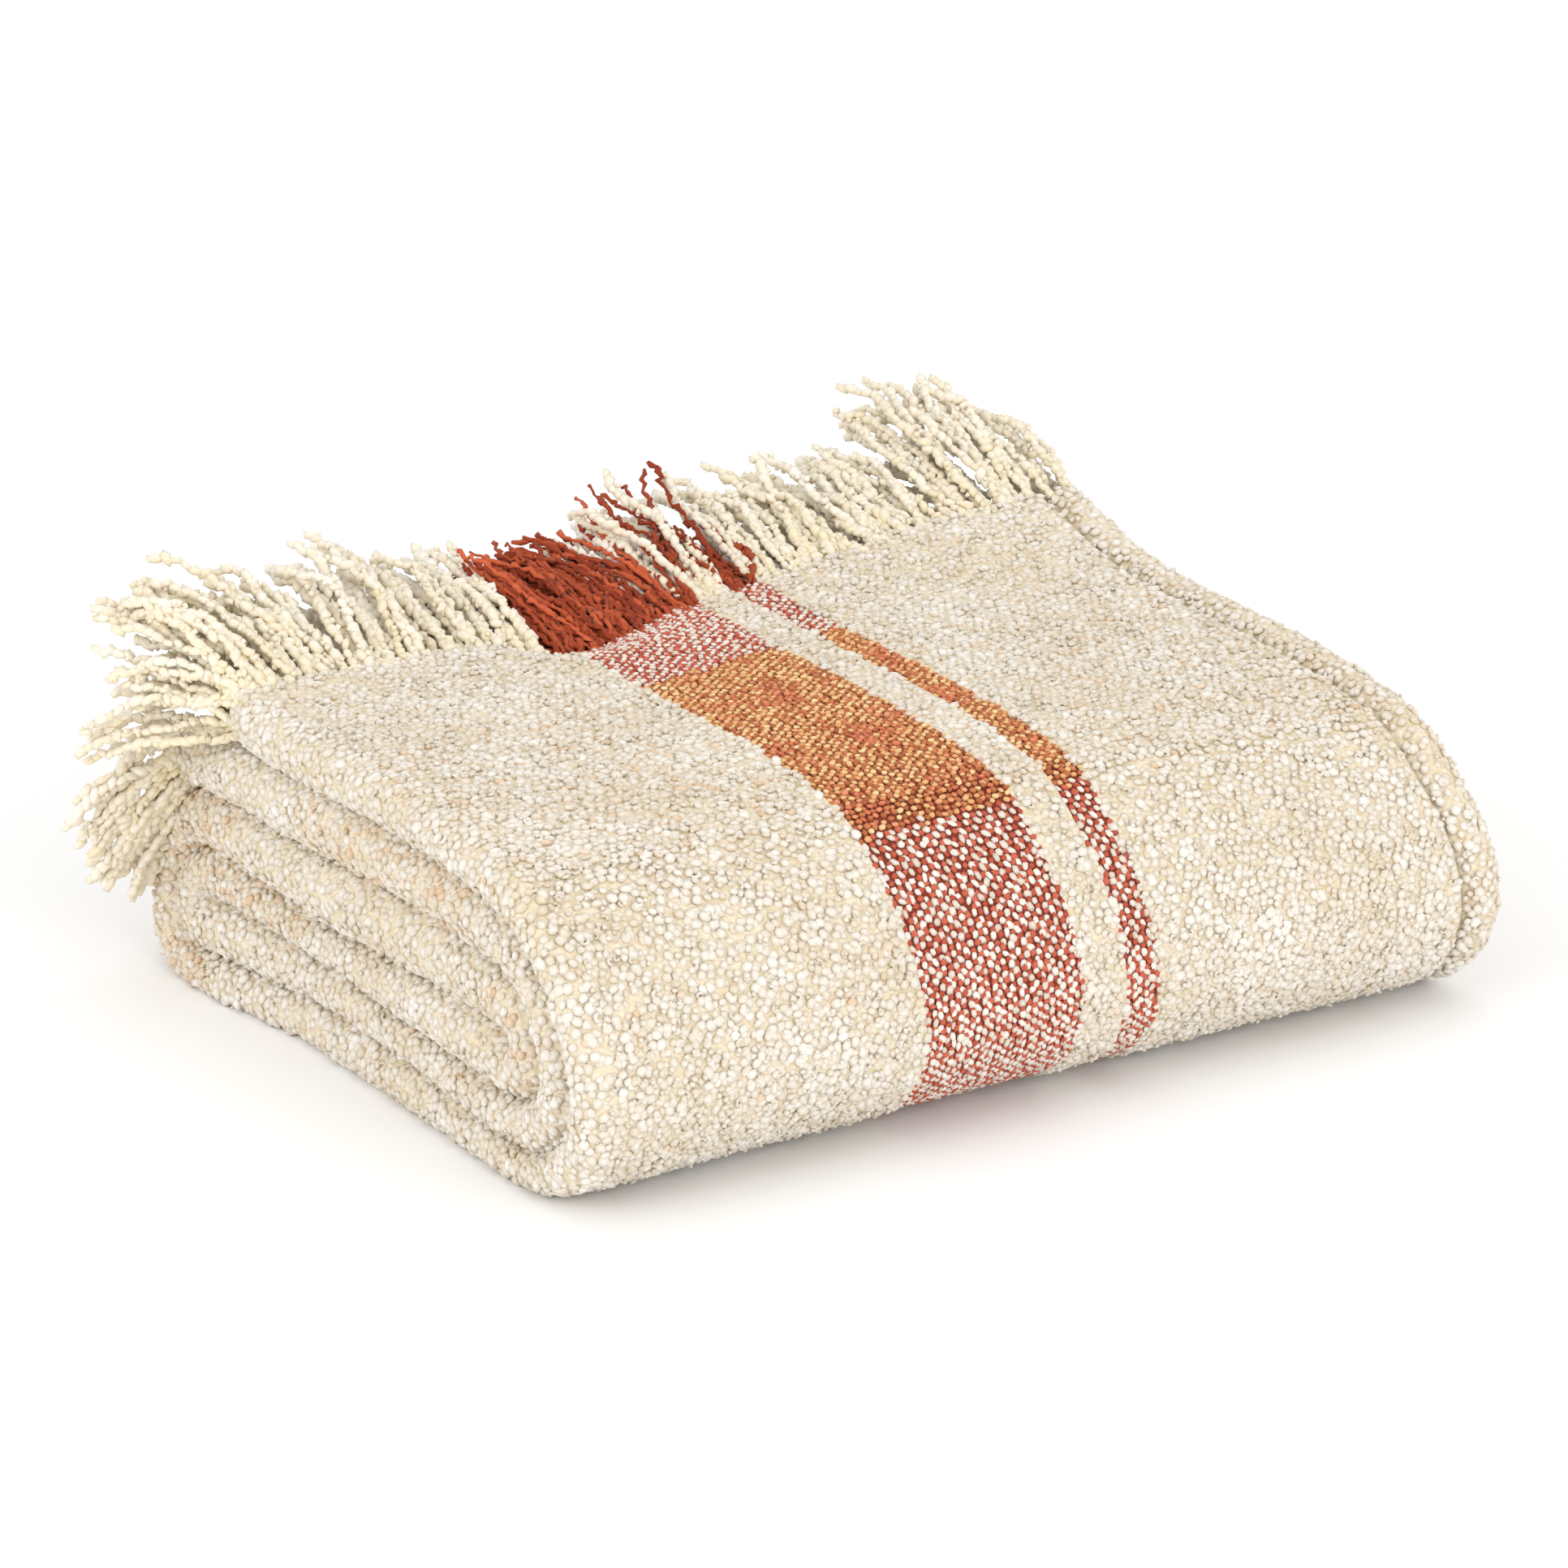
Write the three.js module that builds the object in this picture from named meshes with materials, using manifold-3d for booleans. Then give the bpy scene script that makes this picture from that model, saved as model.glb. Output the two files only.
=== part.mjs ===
// A throw blanket of thick looped cloth with a fringe at both ends, folded as for a shelf.
//
// The cloth is first folded in three across its width, then folded over and over along its
// length into six plies, each three layers thick. Units are millimetres. +X runs from the
// rounded left end to the right end, where the top third's edge and the rolled fold below it
// show. -Y is the rounded front and +Z is up. The origin is on the surface that the blanket
// lies on, under the middle of the folded cloth.
//
// The fold is worked out twice over. A section across the width gives x and a height above
// the ply's middle. It is carried along a path through the six plies, seen from the left end,
// which gives an even stack. settle then moves every point to where the cloth really lies.

import * as THREE from 'three';
import Module from 'manifold-3d';
import { mergeVertices } from 'three/addons/utils/BufferGeometryUtils.js';

const wasm = await Module();
wasm.setup();

// Cloth and the fold across the width.
const clothThickness = 6;
const layerPitch = 7;
const foldedWidth = 434;
const leftEnd = -foldedWidth / 2;
const rightEnd = foldedWidth / 2;
const leftFoldRadius = layerPitch;
const lipRadius = 6.5;
const lipTurn = Math.PI * 5 / 4;
const lipStart = rightEnd - 22;
const lipRejoins = rightEnd - 20;
const topThirdEdge = rightEnd - 21;
const innerThirdEdge = leftEnd + 17;
const foldSteps = 4;
// Shared by the three layers, so that they stay side by side where the cloth sags between them.
const columns = [150, 80, 20, -50, -115, -165];

// Plies along the length: heights of their middles, and where the turns have their centres.
const plyPitch = 22;
const plyHalf = layerPitch + clothThickness / 2;
const plyMiddle = (fromBottom) => plyHalf + fromBottom * plyPitch;
const stackHeight = plyMiddle(5) + plyHalf;
const frontCentre = -112;
const backCentre = 134;
// Shared by all six plies, for the same reason as the columns.
const rowsAlong = [-50, 15, 80];

// Where the two ends of the cloth lie, across the width.
const topEnd = [
  { x: -217, y: 108 },
  { x: -150, y: 111 },
  { x: -95, y: 113 },
  { x: -64, y: 99 },
  { x: -30, y: 103 },
  { x: 8, y: 114 },
  { x: 60, y: 122 },
  { x: 130, y: 128 },
  { x: 217, y: 130 },
];
const underEnd = [
  { x: -217, y: 158 },
  { x: -60, y: 152 },
  { x: 217, y: 160 },
];
const topEndLift = 2;

// Height of the top surface, which is level over most of the blanket, falls a little toward
// the right and rises at the back right.
const topHeight = [
  { y: 185, left: 128, middle: 128, right: 148 },
  { y: 130, left: 131, middle: 129, right: 138 },
  { y: 60, left: 132, middle: 129, right: 124 },
  { y: -50, left: 132, middle: 130, right: 121 },
  { y: -112, left: 125, middle: 124, right: 114 },
  { y: -145, left: 110, middle: 111, right: 102 },
  { y: -177, left: 100, middle: 100, right: 97 },
];
const leftSpring = 95;
const rightRiseFrom = 20;
const rightRiseWidth = 170;

// Heights of the five creases on the left end, from the lowest up, in an even stack and as they lie.
const creaseLine = [
  { y: 165, first: 13, second: 37, third: 58, fourth: 80, fifth: 104 },
  { y: 110, first: 16, second: 39, third: 56, fourth: 81, fifth: 107 },
  { y: 30, first: 20, second: 39, third: 54, fourth: 83, fifth: 110 },
  { y: -40, first: 20, second: 35, third: 58, fourth: 86, fifth: 112 },
  { y: -100, first: 16, second: 35, third: 61, fourth: 87, fifth: 112 },
  { y: -177, first: 20, second: 42, third: 64, fourth: 87, fifth: 110 },
];
const creaseNames = ['first', 'second', 'third', 'fourth', 'fifth'];
const creaseFade = 110;

// The lower plies bulge to the left behind the middle of the stack.
const bulgeReach = 11;
const bulgeFromY = 40;
const bulgeWidth = 90;
const bulgeHeight = 60;

// The fringe: teeth of the comb, and how their tips lie away from where they start.
const fringeGap = 0.3;
const spineDepth = 5;
const spineThickness = 4;
const toothThickness = 3;
const toothRoot = 2;
const toothWidth = 25;
const toothTipWidth = 14;
const toothPitch = 40;
const toothSteps = 3;
const layerDroop = 8;
const topSpread = [
  { x: -217, aside: -62, back: 46, rise: -8 },
  { x: -190, aside: -32, back: 66, rise: 8 },
  { x: -150, aside: -4, back: 76, rise: 20 },
  { x: 60, aside: 2, back: 72, rise: 24 },
  { x: 217, aside: -8, back: 58, rise: 28 },
];
const underSpread = [
  { x: -217, aside: -40, back: 44, rise: -50 },
  { x: -150, aside: -6, back: 60, rise: -42 },
  { x: 217, aside: 4, back: 60, rise: -34 },
];

const cream = new THREE.MeshStandardMaterial({ color: 0xebe2cd, roughness: 0.95, metalness: 0 });
const fringeCream = new THREE.MeshStandardMaterial({ color: 0xf0ebcd, roughness: 0.95, metalness: 0 });

const smooth = (t) => THREE.MathUtils.smoothstep(t, 0, 1);
const lerp = THREE.MathUtils.lerp;

// Reads one column of a table whose rows run along one key, on a curve through the rows.
function readTable(rows, key, column, at) {
  const sorted = rows[0][key] < rows[1][key] ? rows : rows.slice().reverse();
  const last = sorted.length - 1;
  const value = THREE.MathUtils.clamp(at, sorted[0][key], sorted[last][key]);
  let i = 0;
  while (i < last - 1 && value > sorted[i + 1][key]) i += 1;
  const before = sorted[Math.max(i - 1, 0)];
  const low = sorted[i];
  const high = sorted[i + 1];
  const after = sorted[Math.min(i + 2, last)];
  const span = high[key] - low[key];
  const t = (value - low[key]) / span;
  const slopeLow = (high[column] - before[column]) / (high[key] - before[key]) * span;
  const slopeHigh = (after[column] - low[column]) / (after[key] - low[key]) * span;
  const t2 = t * t;
  const t3 = t2 * t;
  return (2 * t3 - 3 * t2 + 1) * low[column] + (t3 - 2 * t2 + t) * slopeLow
    + (3 * t2 - 2 * t3) * high[column] + (t3 - t2) * slopeHigh;
}

// Moves a point of the even stack to where the cloth really lies. The underside stays flat.
function settle(x, y, z) {
  const nearLeft = 1 - smooth((x - leftEnd) / creaseFade);
  const even = [0];
  const uneven = [0];
  creaseNames.forEach((name, i) => {
    even.push(plyMiddle(i + 1) - plyPitch / 2);
    uneven.push(readTable(creaseLine, 'y', name, y));
  });
  even.push(stackHeight);
  uneven.push(stackHeight);
  let k = 0;
  while (k < creaseNames.length && z > even[k + 1]) k += 1;
  const share = (z - even[k]) / (even[k + 1] - even[k]);
  const height = lerp(z, lerp(uneven[k], uneven[k + 1], share), nearLeft);

  const left = readTable(topHeight, 'y', 'left', y);
  const middle = readTable(topHeight, 'y', 'middle', y);
  const right = readTable(topHeight, 'y', 'right', y);
  const beyondLeft = lerp(left, middle, smooth((x - leftEnd) / leftSpring));
  const top = lerp(beyondLeft, right, smooth((x - rightRiseFrom) / rightRiseWidth));

  const low = Math.max(0, 1 - z / bulgeHeight);
  const bulge = bulgeReach * smooth((y - bulgeFromY) / bulgeWidth) * low * nearLeft;
  return new THREE.Vector3(x - bulge, y, height * top / stackHeight);
}

// Middle line of the cloth across its width, as x and height above the ply's middle: the top
// third, the left fold, the bottom third, the rolled lip on the right, and the inner third.
function acrossWidth() {
  const line = [];
  const add = (x, n) => line.push(new THREE.Vector2(x, n));
  const back = columns.slice().reverse();
  add(topThirdEdge, layerPitch);
  columns.forEach((x) => add(x, layerPitch));
  const leftCentre = leftEnd + leftFoldRadius + clothThickness / 2;
  for (let i = 0; i <= foldSteps; i += 1) {
    const angle = Math.PI / 2 + i * Math.PI / foldSteps;
    add(leftCentre + leftFoldRadius * Math.cos(angle), leftFoldRadius * Math.sin(angle));
  }
  back.forEach((x) => add(x, -layerPitch));
  add(lipStart, -layerPitch);
  const lipCentre = rightEnd - lipRadius - clothThickness / 2;
  for (let i = 0; i <= foldSteps; i += 1) {
    const angle = -Math.PI / 2 + i * lipTurn / foldSteps;
    add(lipCentre + lipRadius * Math.cos(angle), lipRadius - layerPitch + lipRadius * Math.sin(angle));
  }
  add(lipRejoins, 0);
  columns.forEach((x) => add(x, 0));
  add(innerThirdEdge, 0);
  return line;
}

// Middle line of the plies seen from the left: y and z, with the side that faces outward.
function alongLength() {
  const stations = [];
  const add = (y, z, outY, outZ, end) => stations.push({ y, z, outY, outZ, end });
  const leg = (ply, out, towardBack) => {
    const rows = towardBack ? rowsAlong : rowsAlong.slice().reverse();
    rows.forEach((y) => add(y, plyMiddle(ply), 0, out, null));
  };
  const turn = (centre, fromPly, toPly, side, steps, outward) => {
    const middle = (plyMiddle(fromPly) + plyMiddle(toPly)) / 2;
    const radius = Math.abs(plyMiddle(fromPly) - plyMiddle(toPly)) / 2;
    const start = fromPly > toPly ? Math.PI / 2 : -Math.PI / 2;
    for (let i = 0; i <= steps; i += 1) {
      const angle = start * (1 - 2 * i / steps);
      const y = Math.cos(angle) * side;
      const z = Math.sin(angle);
      add(centre + radius * y, middle + radius * z, y * outward, z * outward, null);
    }
  };
  add(0, plyMiddle(5), 0, 1, 'top');
  leg(5, 1, false);
  turn(frontCentre, 5, 0, -1, 8, 1);
  leg(0, -1, true);
  turn(backCentre, 0, 3, 1, 6, 1);
  leg(3, 1, false);
  turn(frontCentre, 3, 2, -1, 4, 1);
  leg(2, -1, true);
  turn(backCentre, 2, 1, 1, 4, -1);
  leg(1, 1, false);
  turn(frontCentre, 1, 4, -1, 6, -1);
  leg(4, -1, true);
  add(backCentre, plyMiddle(4), 0, -1, null);
  add(0, plyMiddle(4), 0, -1, 'under');
  return stations;
}

// Where the cloth ends over a given x, and how far the top end is lifted off the ply below.
const endLine = (name, x) => readTable(name === 'top' ? topEnd : underEnd, 'x', 'y', x);
const endLift = (name) => (name === 'top' ? topEndLift : 0);

// One point of the folded cloth: a spot on its width line, at a station, on one of its faces.
function clothPoint(spot, station) {
  const x = spot.x;
  let y = station.y + spot.n * station.outY;
  let z = station.z + spot.n * station.outZ;
  if (station.end) {
    y = endLine(station.end, x);
    z += endLift(station.end);
  }
  return settle(x, y, z);
}

// Shifts each point of a line by half a thickness, along the corner's bisector.
function offsetLine(line, distance) {
  return line.map((point, i) => {
    const before = line[Math.max(i - 1, 0)];
    const after = line[Math.min(i + 1, line.length - 1)];
    const along = after.clone().sub(before).normalize();
    return { x: point.x + along.y * distance, n: point.y - along.x * distance };
  });
}

// A closed slab from two matching grids of points, one for each face.
function slab(outer, inner) {
  const rows = outer.length;
  const columns = outer[0].length;
  const positions = [];
  // Every quad is split along the same way across the blanket, so that layers keep their gaps.
  const pushQuad = (a, b, c, d) => {
    const dy = c.y - a.y;
    const dz = c.z - a.z;
    const along = Math.abs(dy) > Math.abs(dz) ? dy : dz;
    const corners = (c.x - a.x) * along > 0 ? [a, b, c, a, c, d] : [a, b, d, b, c, d];
    corners.forEach((p) => positions.push(p.x, p.y, p.z));
  };
  for (let r = 0; r < rows - 1; r += 1) {
    for (let c = 0; c < columns - 1; c += 1) {
      pushQuad(outer[r][c], outer[r][c + 1], outer[r + 1][c + 1], outer[r + 1][c]);
      pushQuad(inner[r][c], inner[r + 1][c], inner[r + 1][c + 1], inner[r][c + 1]);
    }
    const edge = columns - 1;
    pushQuad(outer[r][0], outer[r + 1][0], inner[r + 1][0], inner[r][0]);
    pushQuad(outer[r][edge], inner[r][edge], inner[r + 1][edge], outer[r + 1][edge]);
  }
  const foot = rows - 1;
  for (let c = 0; c < columns - 1; c += 1) {
    pushQuad(outer[0][c], inner[0][c], inner[0][c + 1], outer[0][c + 1]);
    pushQuad(outer[foot][c], outer[foot][c + 1], inner[foot][c + 1], inner[foot][c]);
  }
  const geometry = new THREE.BufferGeometry();
  geometry.setAttribute('position', new THREE.Float32BufferAttribute(positions, 3));
  return mergeVertices(geometry, 1e-4);
}

function clothGeometry() {
  const line = acrossWidth();
  const outerLine = offsetLine(line, clothThickness / 2);
  const innerLine = offsetLine(line, -clothThickness / 2);
  const stations = alongLength();
  const outer = stations.map((station) => outerLine.map((spot) => clothPoint(spot, station)));
  const inner = stations.map((station) => innerLine.map((spot) => clothPoint(spot, station)));
  return slab(outer, inner);
}

function toSolid(geometry) {
  return new wasm.Manifold(new wasm.Mesh({
    numProp: 3,
    vertProperties: geometry.attributes.position.array,
    triVerts: new Uint32Array(geometry.index.array),
  }));
}

function toGeometry(solid) {
  const mesh = solid.getMesh();
  const geometry = new THREE.BufferGeometry();
  geometry.setAttribute('position', new THREE.BufferAttribute(new Float32Array(mesh.vertProperties), 3));
  geometry.setIndex(new THREE.BufferAttribute(new Uint32Array(mesh.triVerts), 1));
  return geometry;
}

// A comb along one folded end of the cloth: a narrow strip just off the edge, with teeth that
// start inside the strip and curve out to where the fringe lies.
function fringeGeometry(name, ply, out, spread) {
  const line = acrossWidth();
  const place = (spot, away) => {
    const y = endLine(name, spot.x);
    const base = settle(spot.x, y, plyMiddle(ply) + spot.n * out + endLift(name));
    return base.add(new THREE.Vector3(0, away, 0));
  };
  const strip = (spots) => [
    spots.map((spot) => place(spot, fringeGap + spineDepth)),
    spots.map((spot) => place(spot, fringeGap)),
  ];
  const striped = strip(offsetLine(line, spineThickness / 2));
  const plain = strip(offsetLine(line, -spineThickness / 2));
  let comb = toSolid(out > 0 ? slab(striped, plain) : slab(plain, striped));

  const along = [0];
  for (let i = 1; i < line.length; i += 1) along.push(along[i - 1] + line[i].distanceTo(line[i - 1]));
  const onLine = (values, distance, blend) => {
    let i = 0;
    while (i < line.length - 2 && distance > along[i + 1]) i += 1;
    return blend(values[i], values[i + 1], (distance - along[i]) / (along[i + 1] - along[i]));
  };
  const roots = [toothThickness / 2, -toothThickness / 2].map(
    (half) => offsetLine(line, half).map((spot) => place(spot, toothRoot)));
  const total = along[along.length - 1];
  const count = Math.floor(total / toothPitch);
  for (let tooth = 0; tooth < count; tooth += 1) {
    const middle = (tooth + 0.5) * total / count;
    const centre = onLine(line, middle, (a, b, t) => a.clone().lerp(b, t));
    const aside = readTable(spread, 'x', 'aside', centre.x);
    const back = readTable(spread, 'x', 'back', centre.x);
    const lower = (layerPitch - centre.y * out) / layerPitch;
    const rise = readTable(spread, 'x', 'rise', centre.x) - lower * layerDroop;
    const rings = (rootLine) => {
      const grid = [];
      for (let step = 0; step <= toothSteps; step += 1) {
        const t = step / toothSteps;
        const width = lerp(toothWidth, toothTipWidth, t) / 2;
        const curve = t * t;
        grid.push([-width, width].map((shift) => {
          const point = onLine(rootLine, middle + shift, (a, b, share) => a.clone().lerp(b, share));
          return point.add(new THREE.Vector3(aside * curve, back * t, rise * curve));
        }));
      }
      return grid;
    };
    const [outer, inner] = roots.map(rings);
    const body = out > 0 ? slab(inner, outer) : slab(outer, inner);
    comb = comb.add(toSolid(body));
  }
  return toGeometry(comb);
}

const blanket = new THREE.Group();

function addPiece(name, geometry, material) {
  geometry.computeVertexNormals();
  const mesh = new THREE.Mesh(geometry, material);
  mesh.name = name;
  blanket.add(mesh);
}

addPiece('cloth', clothGeometry(), cream);
addPiece('top_fringe', fringeGeometry('top', 5, 1, topSpread), fringeCream);
addPiece('under_fringe', fringeGeometry('under', 4, -1, underSpread), fringeCream);

export default blanket;
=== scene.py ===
# %% [markdown]
# # A folded throw blanket of thick looped cloth
# The real throw is one woven cloth, about 1.3 by 1.9 m, with a looped cream face, two flat
# woven stripes and a fringe of loose yarn at both ends. It was folded in three across its
# width and then over and over along its length. This lesson makes the cloth first, then the
# loops that stand on it, the flat weave of the stripes, and last the two fringes.
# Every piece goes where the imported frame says.

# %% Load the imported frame
import math
import bpy
import numpy as np
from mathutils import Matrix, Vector


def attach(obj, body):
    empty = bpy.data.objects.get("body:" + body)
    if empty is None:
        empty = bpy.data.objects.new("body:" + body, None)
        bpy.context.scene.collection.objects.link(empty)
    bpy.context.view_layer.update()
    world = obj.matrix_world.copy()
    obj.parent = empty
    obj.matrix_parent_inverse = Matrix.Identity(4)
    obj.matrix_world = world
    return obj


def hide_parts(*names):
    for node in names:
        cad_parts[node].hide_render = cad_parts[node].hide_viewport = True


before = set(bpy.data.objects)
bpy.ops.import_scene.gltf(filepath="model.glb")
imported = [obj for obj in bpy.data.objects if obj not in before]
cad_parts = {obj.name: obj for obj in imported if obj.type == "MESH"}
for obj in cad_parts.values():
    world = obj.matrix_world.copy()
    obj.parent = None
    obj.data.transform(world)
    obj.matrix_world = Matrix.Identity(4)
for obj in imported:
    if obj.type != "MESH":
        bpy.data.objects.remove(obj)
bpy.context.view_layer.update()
bpy.ops.object.select_all(action="DESELECT")
MM = 0.001

# %% [markdown]
# ## Camera
# The photograph was taken from well back with a long lens, a little above the blanket and
# to the left of its front. A long lens keeps the far edge almost as wide as the near one.
# Its place comes from two angles and a distance, which can be compared one at a time.

# %% Camera
VIEW_AZIMUTH = math.radians(-32.3)
VIEW_ELEVATION = math.radians(20.6)
VIEW_DISTANCE = 3.0
VIEW_TARGET = Vector((0.0231, 0.0663, 0.06))
LENS_MM = 163.8

toward_camera = Vector((
    math.sin(VIEW_AZIMUTH) * math.cos(VIEW_ELEVATION),
    -math.cos(VIEW_AZIMUTH) * math.cos(VIEW_ELEVATION),
    math.sin(VIEW_ELEVATION),
))


def aimed(name, data, place):
    """Adds a camera or a lamp that looks at the blanket."""
    made = bpy.data.objects.new(name, data)
    bpy.context.scene.collection.objects.link(made)
    made.location = place
    made.rotation_euler = (Vector(place) - VIEW_TARGET).to_track_quat("Z", "Y").to_euler()
    return made


lens = bpy.data.cameras.new("camera")
lens.lens = LENS_MM
lens.sensor_width = 36
camera = aimed("camera", lens, VIEW_TARGET + toward_camera * VIEW_DISTANCE)
bpy.context.scene.camera = camera
print("camera at", [round(v, 3) for v in camera.location])

# %% [markdown]
# ## Light and floor
# The studio light is soft and comes from everywhere, a little stronger from low in front, so
# the front is lighter than the top. A bright world gives the soft part, and two large area
# lights give the loops a light side and a dark side.

# %% Light and floor
FLOOR_SIZE = 14.0


def area_light(name, place, size, power):
    """Adds a square lamp that looks at the blanket."""
    data = bpy.data.lights.new(name, "AREA")
    data.size = size
    data.energy = power
    aimed(name, data, place)


world = bpy.data.worlds.new("studio")
bpy.context.scene.world = world
world.use_nodes = True
sky = world.node_tree.nodes["Background"]
sky.inputs["Color"].default_value = (1.0, 1.0, 1.0, 1.0)
sky.inputs["Strength"].default_value = 1.0
bpy.context.scene.view_settings.view_transform = "Standard"

area_light("light_front", (0.1, -2.6, 1.1), 1.5, 22)
area_light("light_left", (-2.4, -0.5, 1.2), 1.3, 16)

bpy.ops.mesh.primitive_plane_add(size=FLOOR_SIZE, location=(0, 0, 0))
floor = bpy.context.object
floor.name = "floor"
floor_finish = bpy.data.materials.new("floor_pale")
floor_finish.use_nodes = True
floor_shader = floor_finish.node_tree.nodes["Principled BSDF"]
floor_shader.inputs["Base Color"].default_value = (0.95, 0.95, 0.95, 1.0)
floor_shader.inputs["Roughness"].default_value = 0.9
floor.data.materials.append(floor_finish)

# %% [markdown]
# ## How the cloth is folded
# The fold is worked out twice over, as it is done by hand. First the cloth is folded in
# three across its width, which gives a line seen from the front: the top third, the round
# left fold, the bottom third, the rolled lip on the right and the inner third. Then that
# triple strip is folded into six plies along its length, a path seen from the left.
# All sizes are in millimetres. They are the frame's own, apart from a thinner cloth, a rounder
# lip and small changes along the top end.

# %% Sizes of the fold
THICKNESS = 5.2
FLEECE = 0.9
LAYER_PITCH = 7.0
FOLDED_WIDTH = 434.0
LEFT_END = -FOLDED_WIDTH / 2
RIGHT_END = FOLDED_WIDTH / 2
LEFT_FOLD_RADIUS = LAYER_PITCH
FRAME_HALF = 3.0
LIP_RADIUS = 7.5
LIP_MIDDLE = LIP_RADIUS - LAYER_PITCH
LIP_TURN = math.radians(225)
LIP_REJOINS = RIGHT_END - 20
LEFT_FOLD_CENTRE = LEFT_END + LEFT_FOLD_RADIUS + FRAME_HALF
LIP_CENTRE = RIGHT_END - LIP_RADIUS - FRAME_HALF
TOP_THIRD_EDGE = RIGHT_END - 21
INNER_THIRD_EDGE = LEFT_END + 17
SELVEDGE_DIP = 1.2
SELVEDGE_WIDTH = 8.0

PLY_PITCH = 22.0
PLY_HALF = LAYER_PITCH + FRAME_HALF
STACK_HEIGHT = 6 * PLY_PITCH - 2
FRONT_CENTRE = -112.0
BACK_CENTRE = 134.0
TOP_END_FROM = 80.0
TOP_END_LENGTH = 42.0
UNDER_END_LENGTH = 24.0

TOP_END = {"x": (-217, -150, -95, -64, -30, 8, 60, 130, 217),
           "y": (104, 109, 113, 99, 103, 114, 122, 128, 130),
           "lift": (3, 3, 0, -6, -3, 0, 1, 2, 2)}
UNDER_END = {"x": (-217, -60, 217),
             "y": (158, 152, 160)}

TOP_HEIGHT = {"y": (-177, -145, -112, -50, 60, 130, 185),
              "left": (100, 110, 125, 132, 132, 131, 128),
              "middle": (100, 111, 124, 130, 129, 129, 128),
              "right": (97, 102, 114, 121, 124, 138, 148)}
LEFT_SPRING = 95.0
RIGHT_RISE_FROM = 20.0
RIGHT_RISE_WIDTH = 170.0

CREASE_LINE = {"y": (-177, -100, -40, 30, 110, 165),
               "first": (20, 16, 20, 20, 16, 13),
               "second": (42, 35, 35, 39, 39, 37),
               "third": (64, 61, 58, 54, 56, 58),
               "fourth": (87, 87, 86, 83, 81, 80),
               "fifth": (110, 112, 112, 110, 107, 104)}
CREASE_FADE = 110.0
BULGE_REACH = 11.0
BULGE_FROM_Y = 40.0
BULGE_WIDTH = 90.0
BULGE_HEIGHT = 60.0


def ply_middle(from_bottom):
    """Height of the middle of a ply in the even stack."""
    return PLY_HALF + from_bottom * PLY_PITCH


def smooth(t):
    """Runs from 0 to 1 with soft ends."""
    t = np.clip(t, 0, 1)
    return t * t * (3 - 2 * t)


def mix(low, high, share):
    """The value that lies a share of the way from low to high."""
    return low + (high - low) * share


def distances(points):
    """How far along a line each of its points lies."""
    return np.concatenate([[0], np.cumsum(np.linalg.norm(np.diff(points, axis=0), axis=1))])


def unit(vectors):
    """Vectors brought to a length of 1."""
    return vectors / np.linalg.norm(vectors, axis=-1, keepdims=True)


def curve(table, key, column, at):
    """Reads a column of a table on a smooth curve through its rows."""
    keys = np.array(table[key], float)
    values = np.array(table[column], float)
    index = np.arange(len(keys))
    ahead = np.minimum(index + 1, len(keys) - 1)
    behind = np.maximum(index - 1, 0)
    slopes = (values[ahead] - values[behind]) / (keys[ahead] - keys[behind])
    at = np.clip(at, keys[0], keys[-1])
    i = np.clip(np.searchsorted(keys, at) - 1, 0, len(keys) - 2)
    span = keys[i + 1] - keys[i]
    t = (at - keys[i]) / span
    return ((2 * t**3 - 3 * t**2 + 1) * values[i] + (t**3 - 2 * t**2 + t) * slopes[i] * span
            + (3 * t**2 - 2 * t**3) * values[i + 1] + (t**3 - t**2) * slopes[i + 1] * span)


print("plies at", [ply_middle(n) for n in range(6)], "mm")

# %% [markdown]
# ## From the even stack to the cloth as it lies
# A folded blanket is never an even stack: its plies sink in the middle, spring open at the
# closed left end and rise at the back right, where the fringe bunches up. One smooth function
# moves any point of the even stack to where it lies. Because it moves all the layers
# together, they stay side by side and never cut each other.

# %% Where the cloth lies
def settle(x, y, z):
    """Moves points of the even stack to where the cloth lies. All in millimetres."""
    near_left = 1 - smooth((x - LEFT_END) / CREASE_FADE)
    even = np.array([0.0] + [ply_middle(n) - PLY_PITCH / 2 for n in range(1, 6)] + [STACK_HEIGHT])
    creases = [curve(CREASE_LINE, "y", name, y) for name in CREASE_LINE if name != "y"]
    lying = np.stack([np.zeros_like(y)] + creases + [np.full_like(y, STACK_HEIGHT)])
    k = np.clip(np.searchsorted(even, z) - 1, 0, len(even) - 2)
    share = (z - even[k]) / (even[k + 1] - even[k])
    below = np.take_along_axis(lying, k[None], 0)[0]
    above = np.take_along_axis(lying, k[None] + 1, 0)[0]
    height = mix(z, mix(below, above, share), near_left)

    left, middle, right = (curve(TOP_HEIGHT, "y", side, y) for side in ("left", "middle", "right"))
    beyond_left = mix(left, middle, smooth((x - LEFT_END) / LEFT_SPRING))
    top = mix(beyond_left, right, smooth((x - RIGHT_RISE_FROM) / RIGHT_RISE_WIDTH))
    low = np.maximum(0, 1 - z / BULGE_HEIGHT)
    bulge = BULGE_REACH * smooth((y - BULGE_FROM_Y) / BULGE_WIDTH) * low * near_left
    return np.stack([x - bulge, y, height * top / STACK_HEIGHT], -1)


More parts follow.
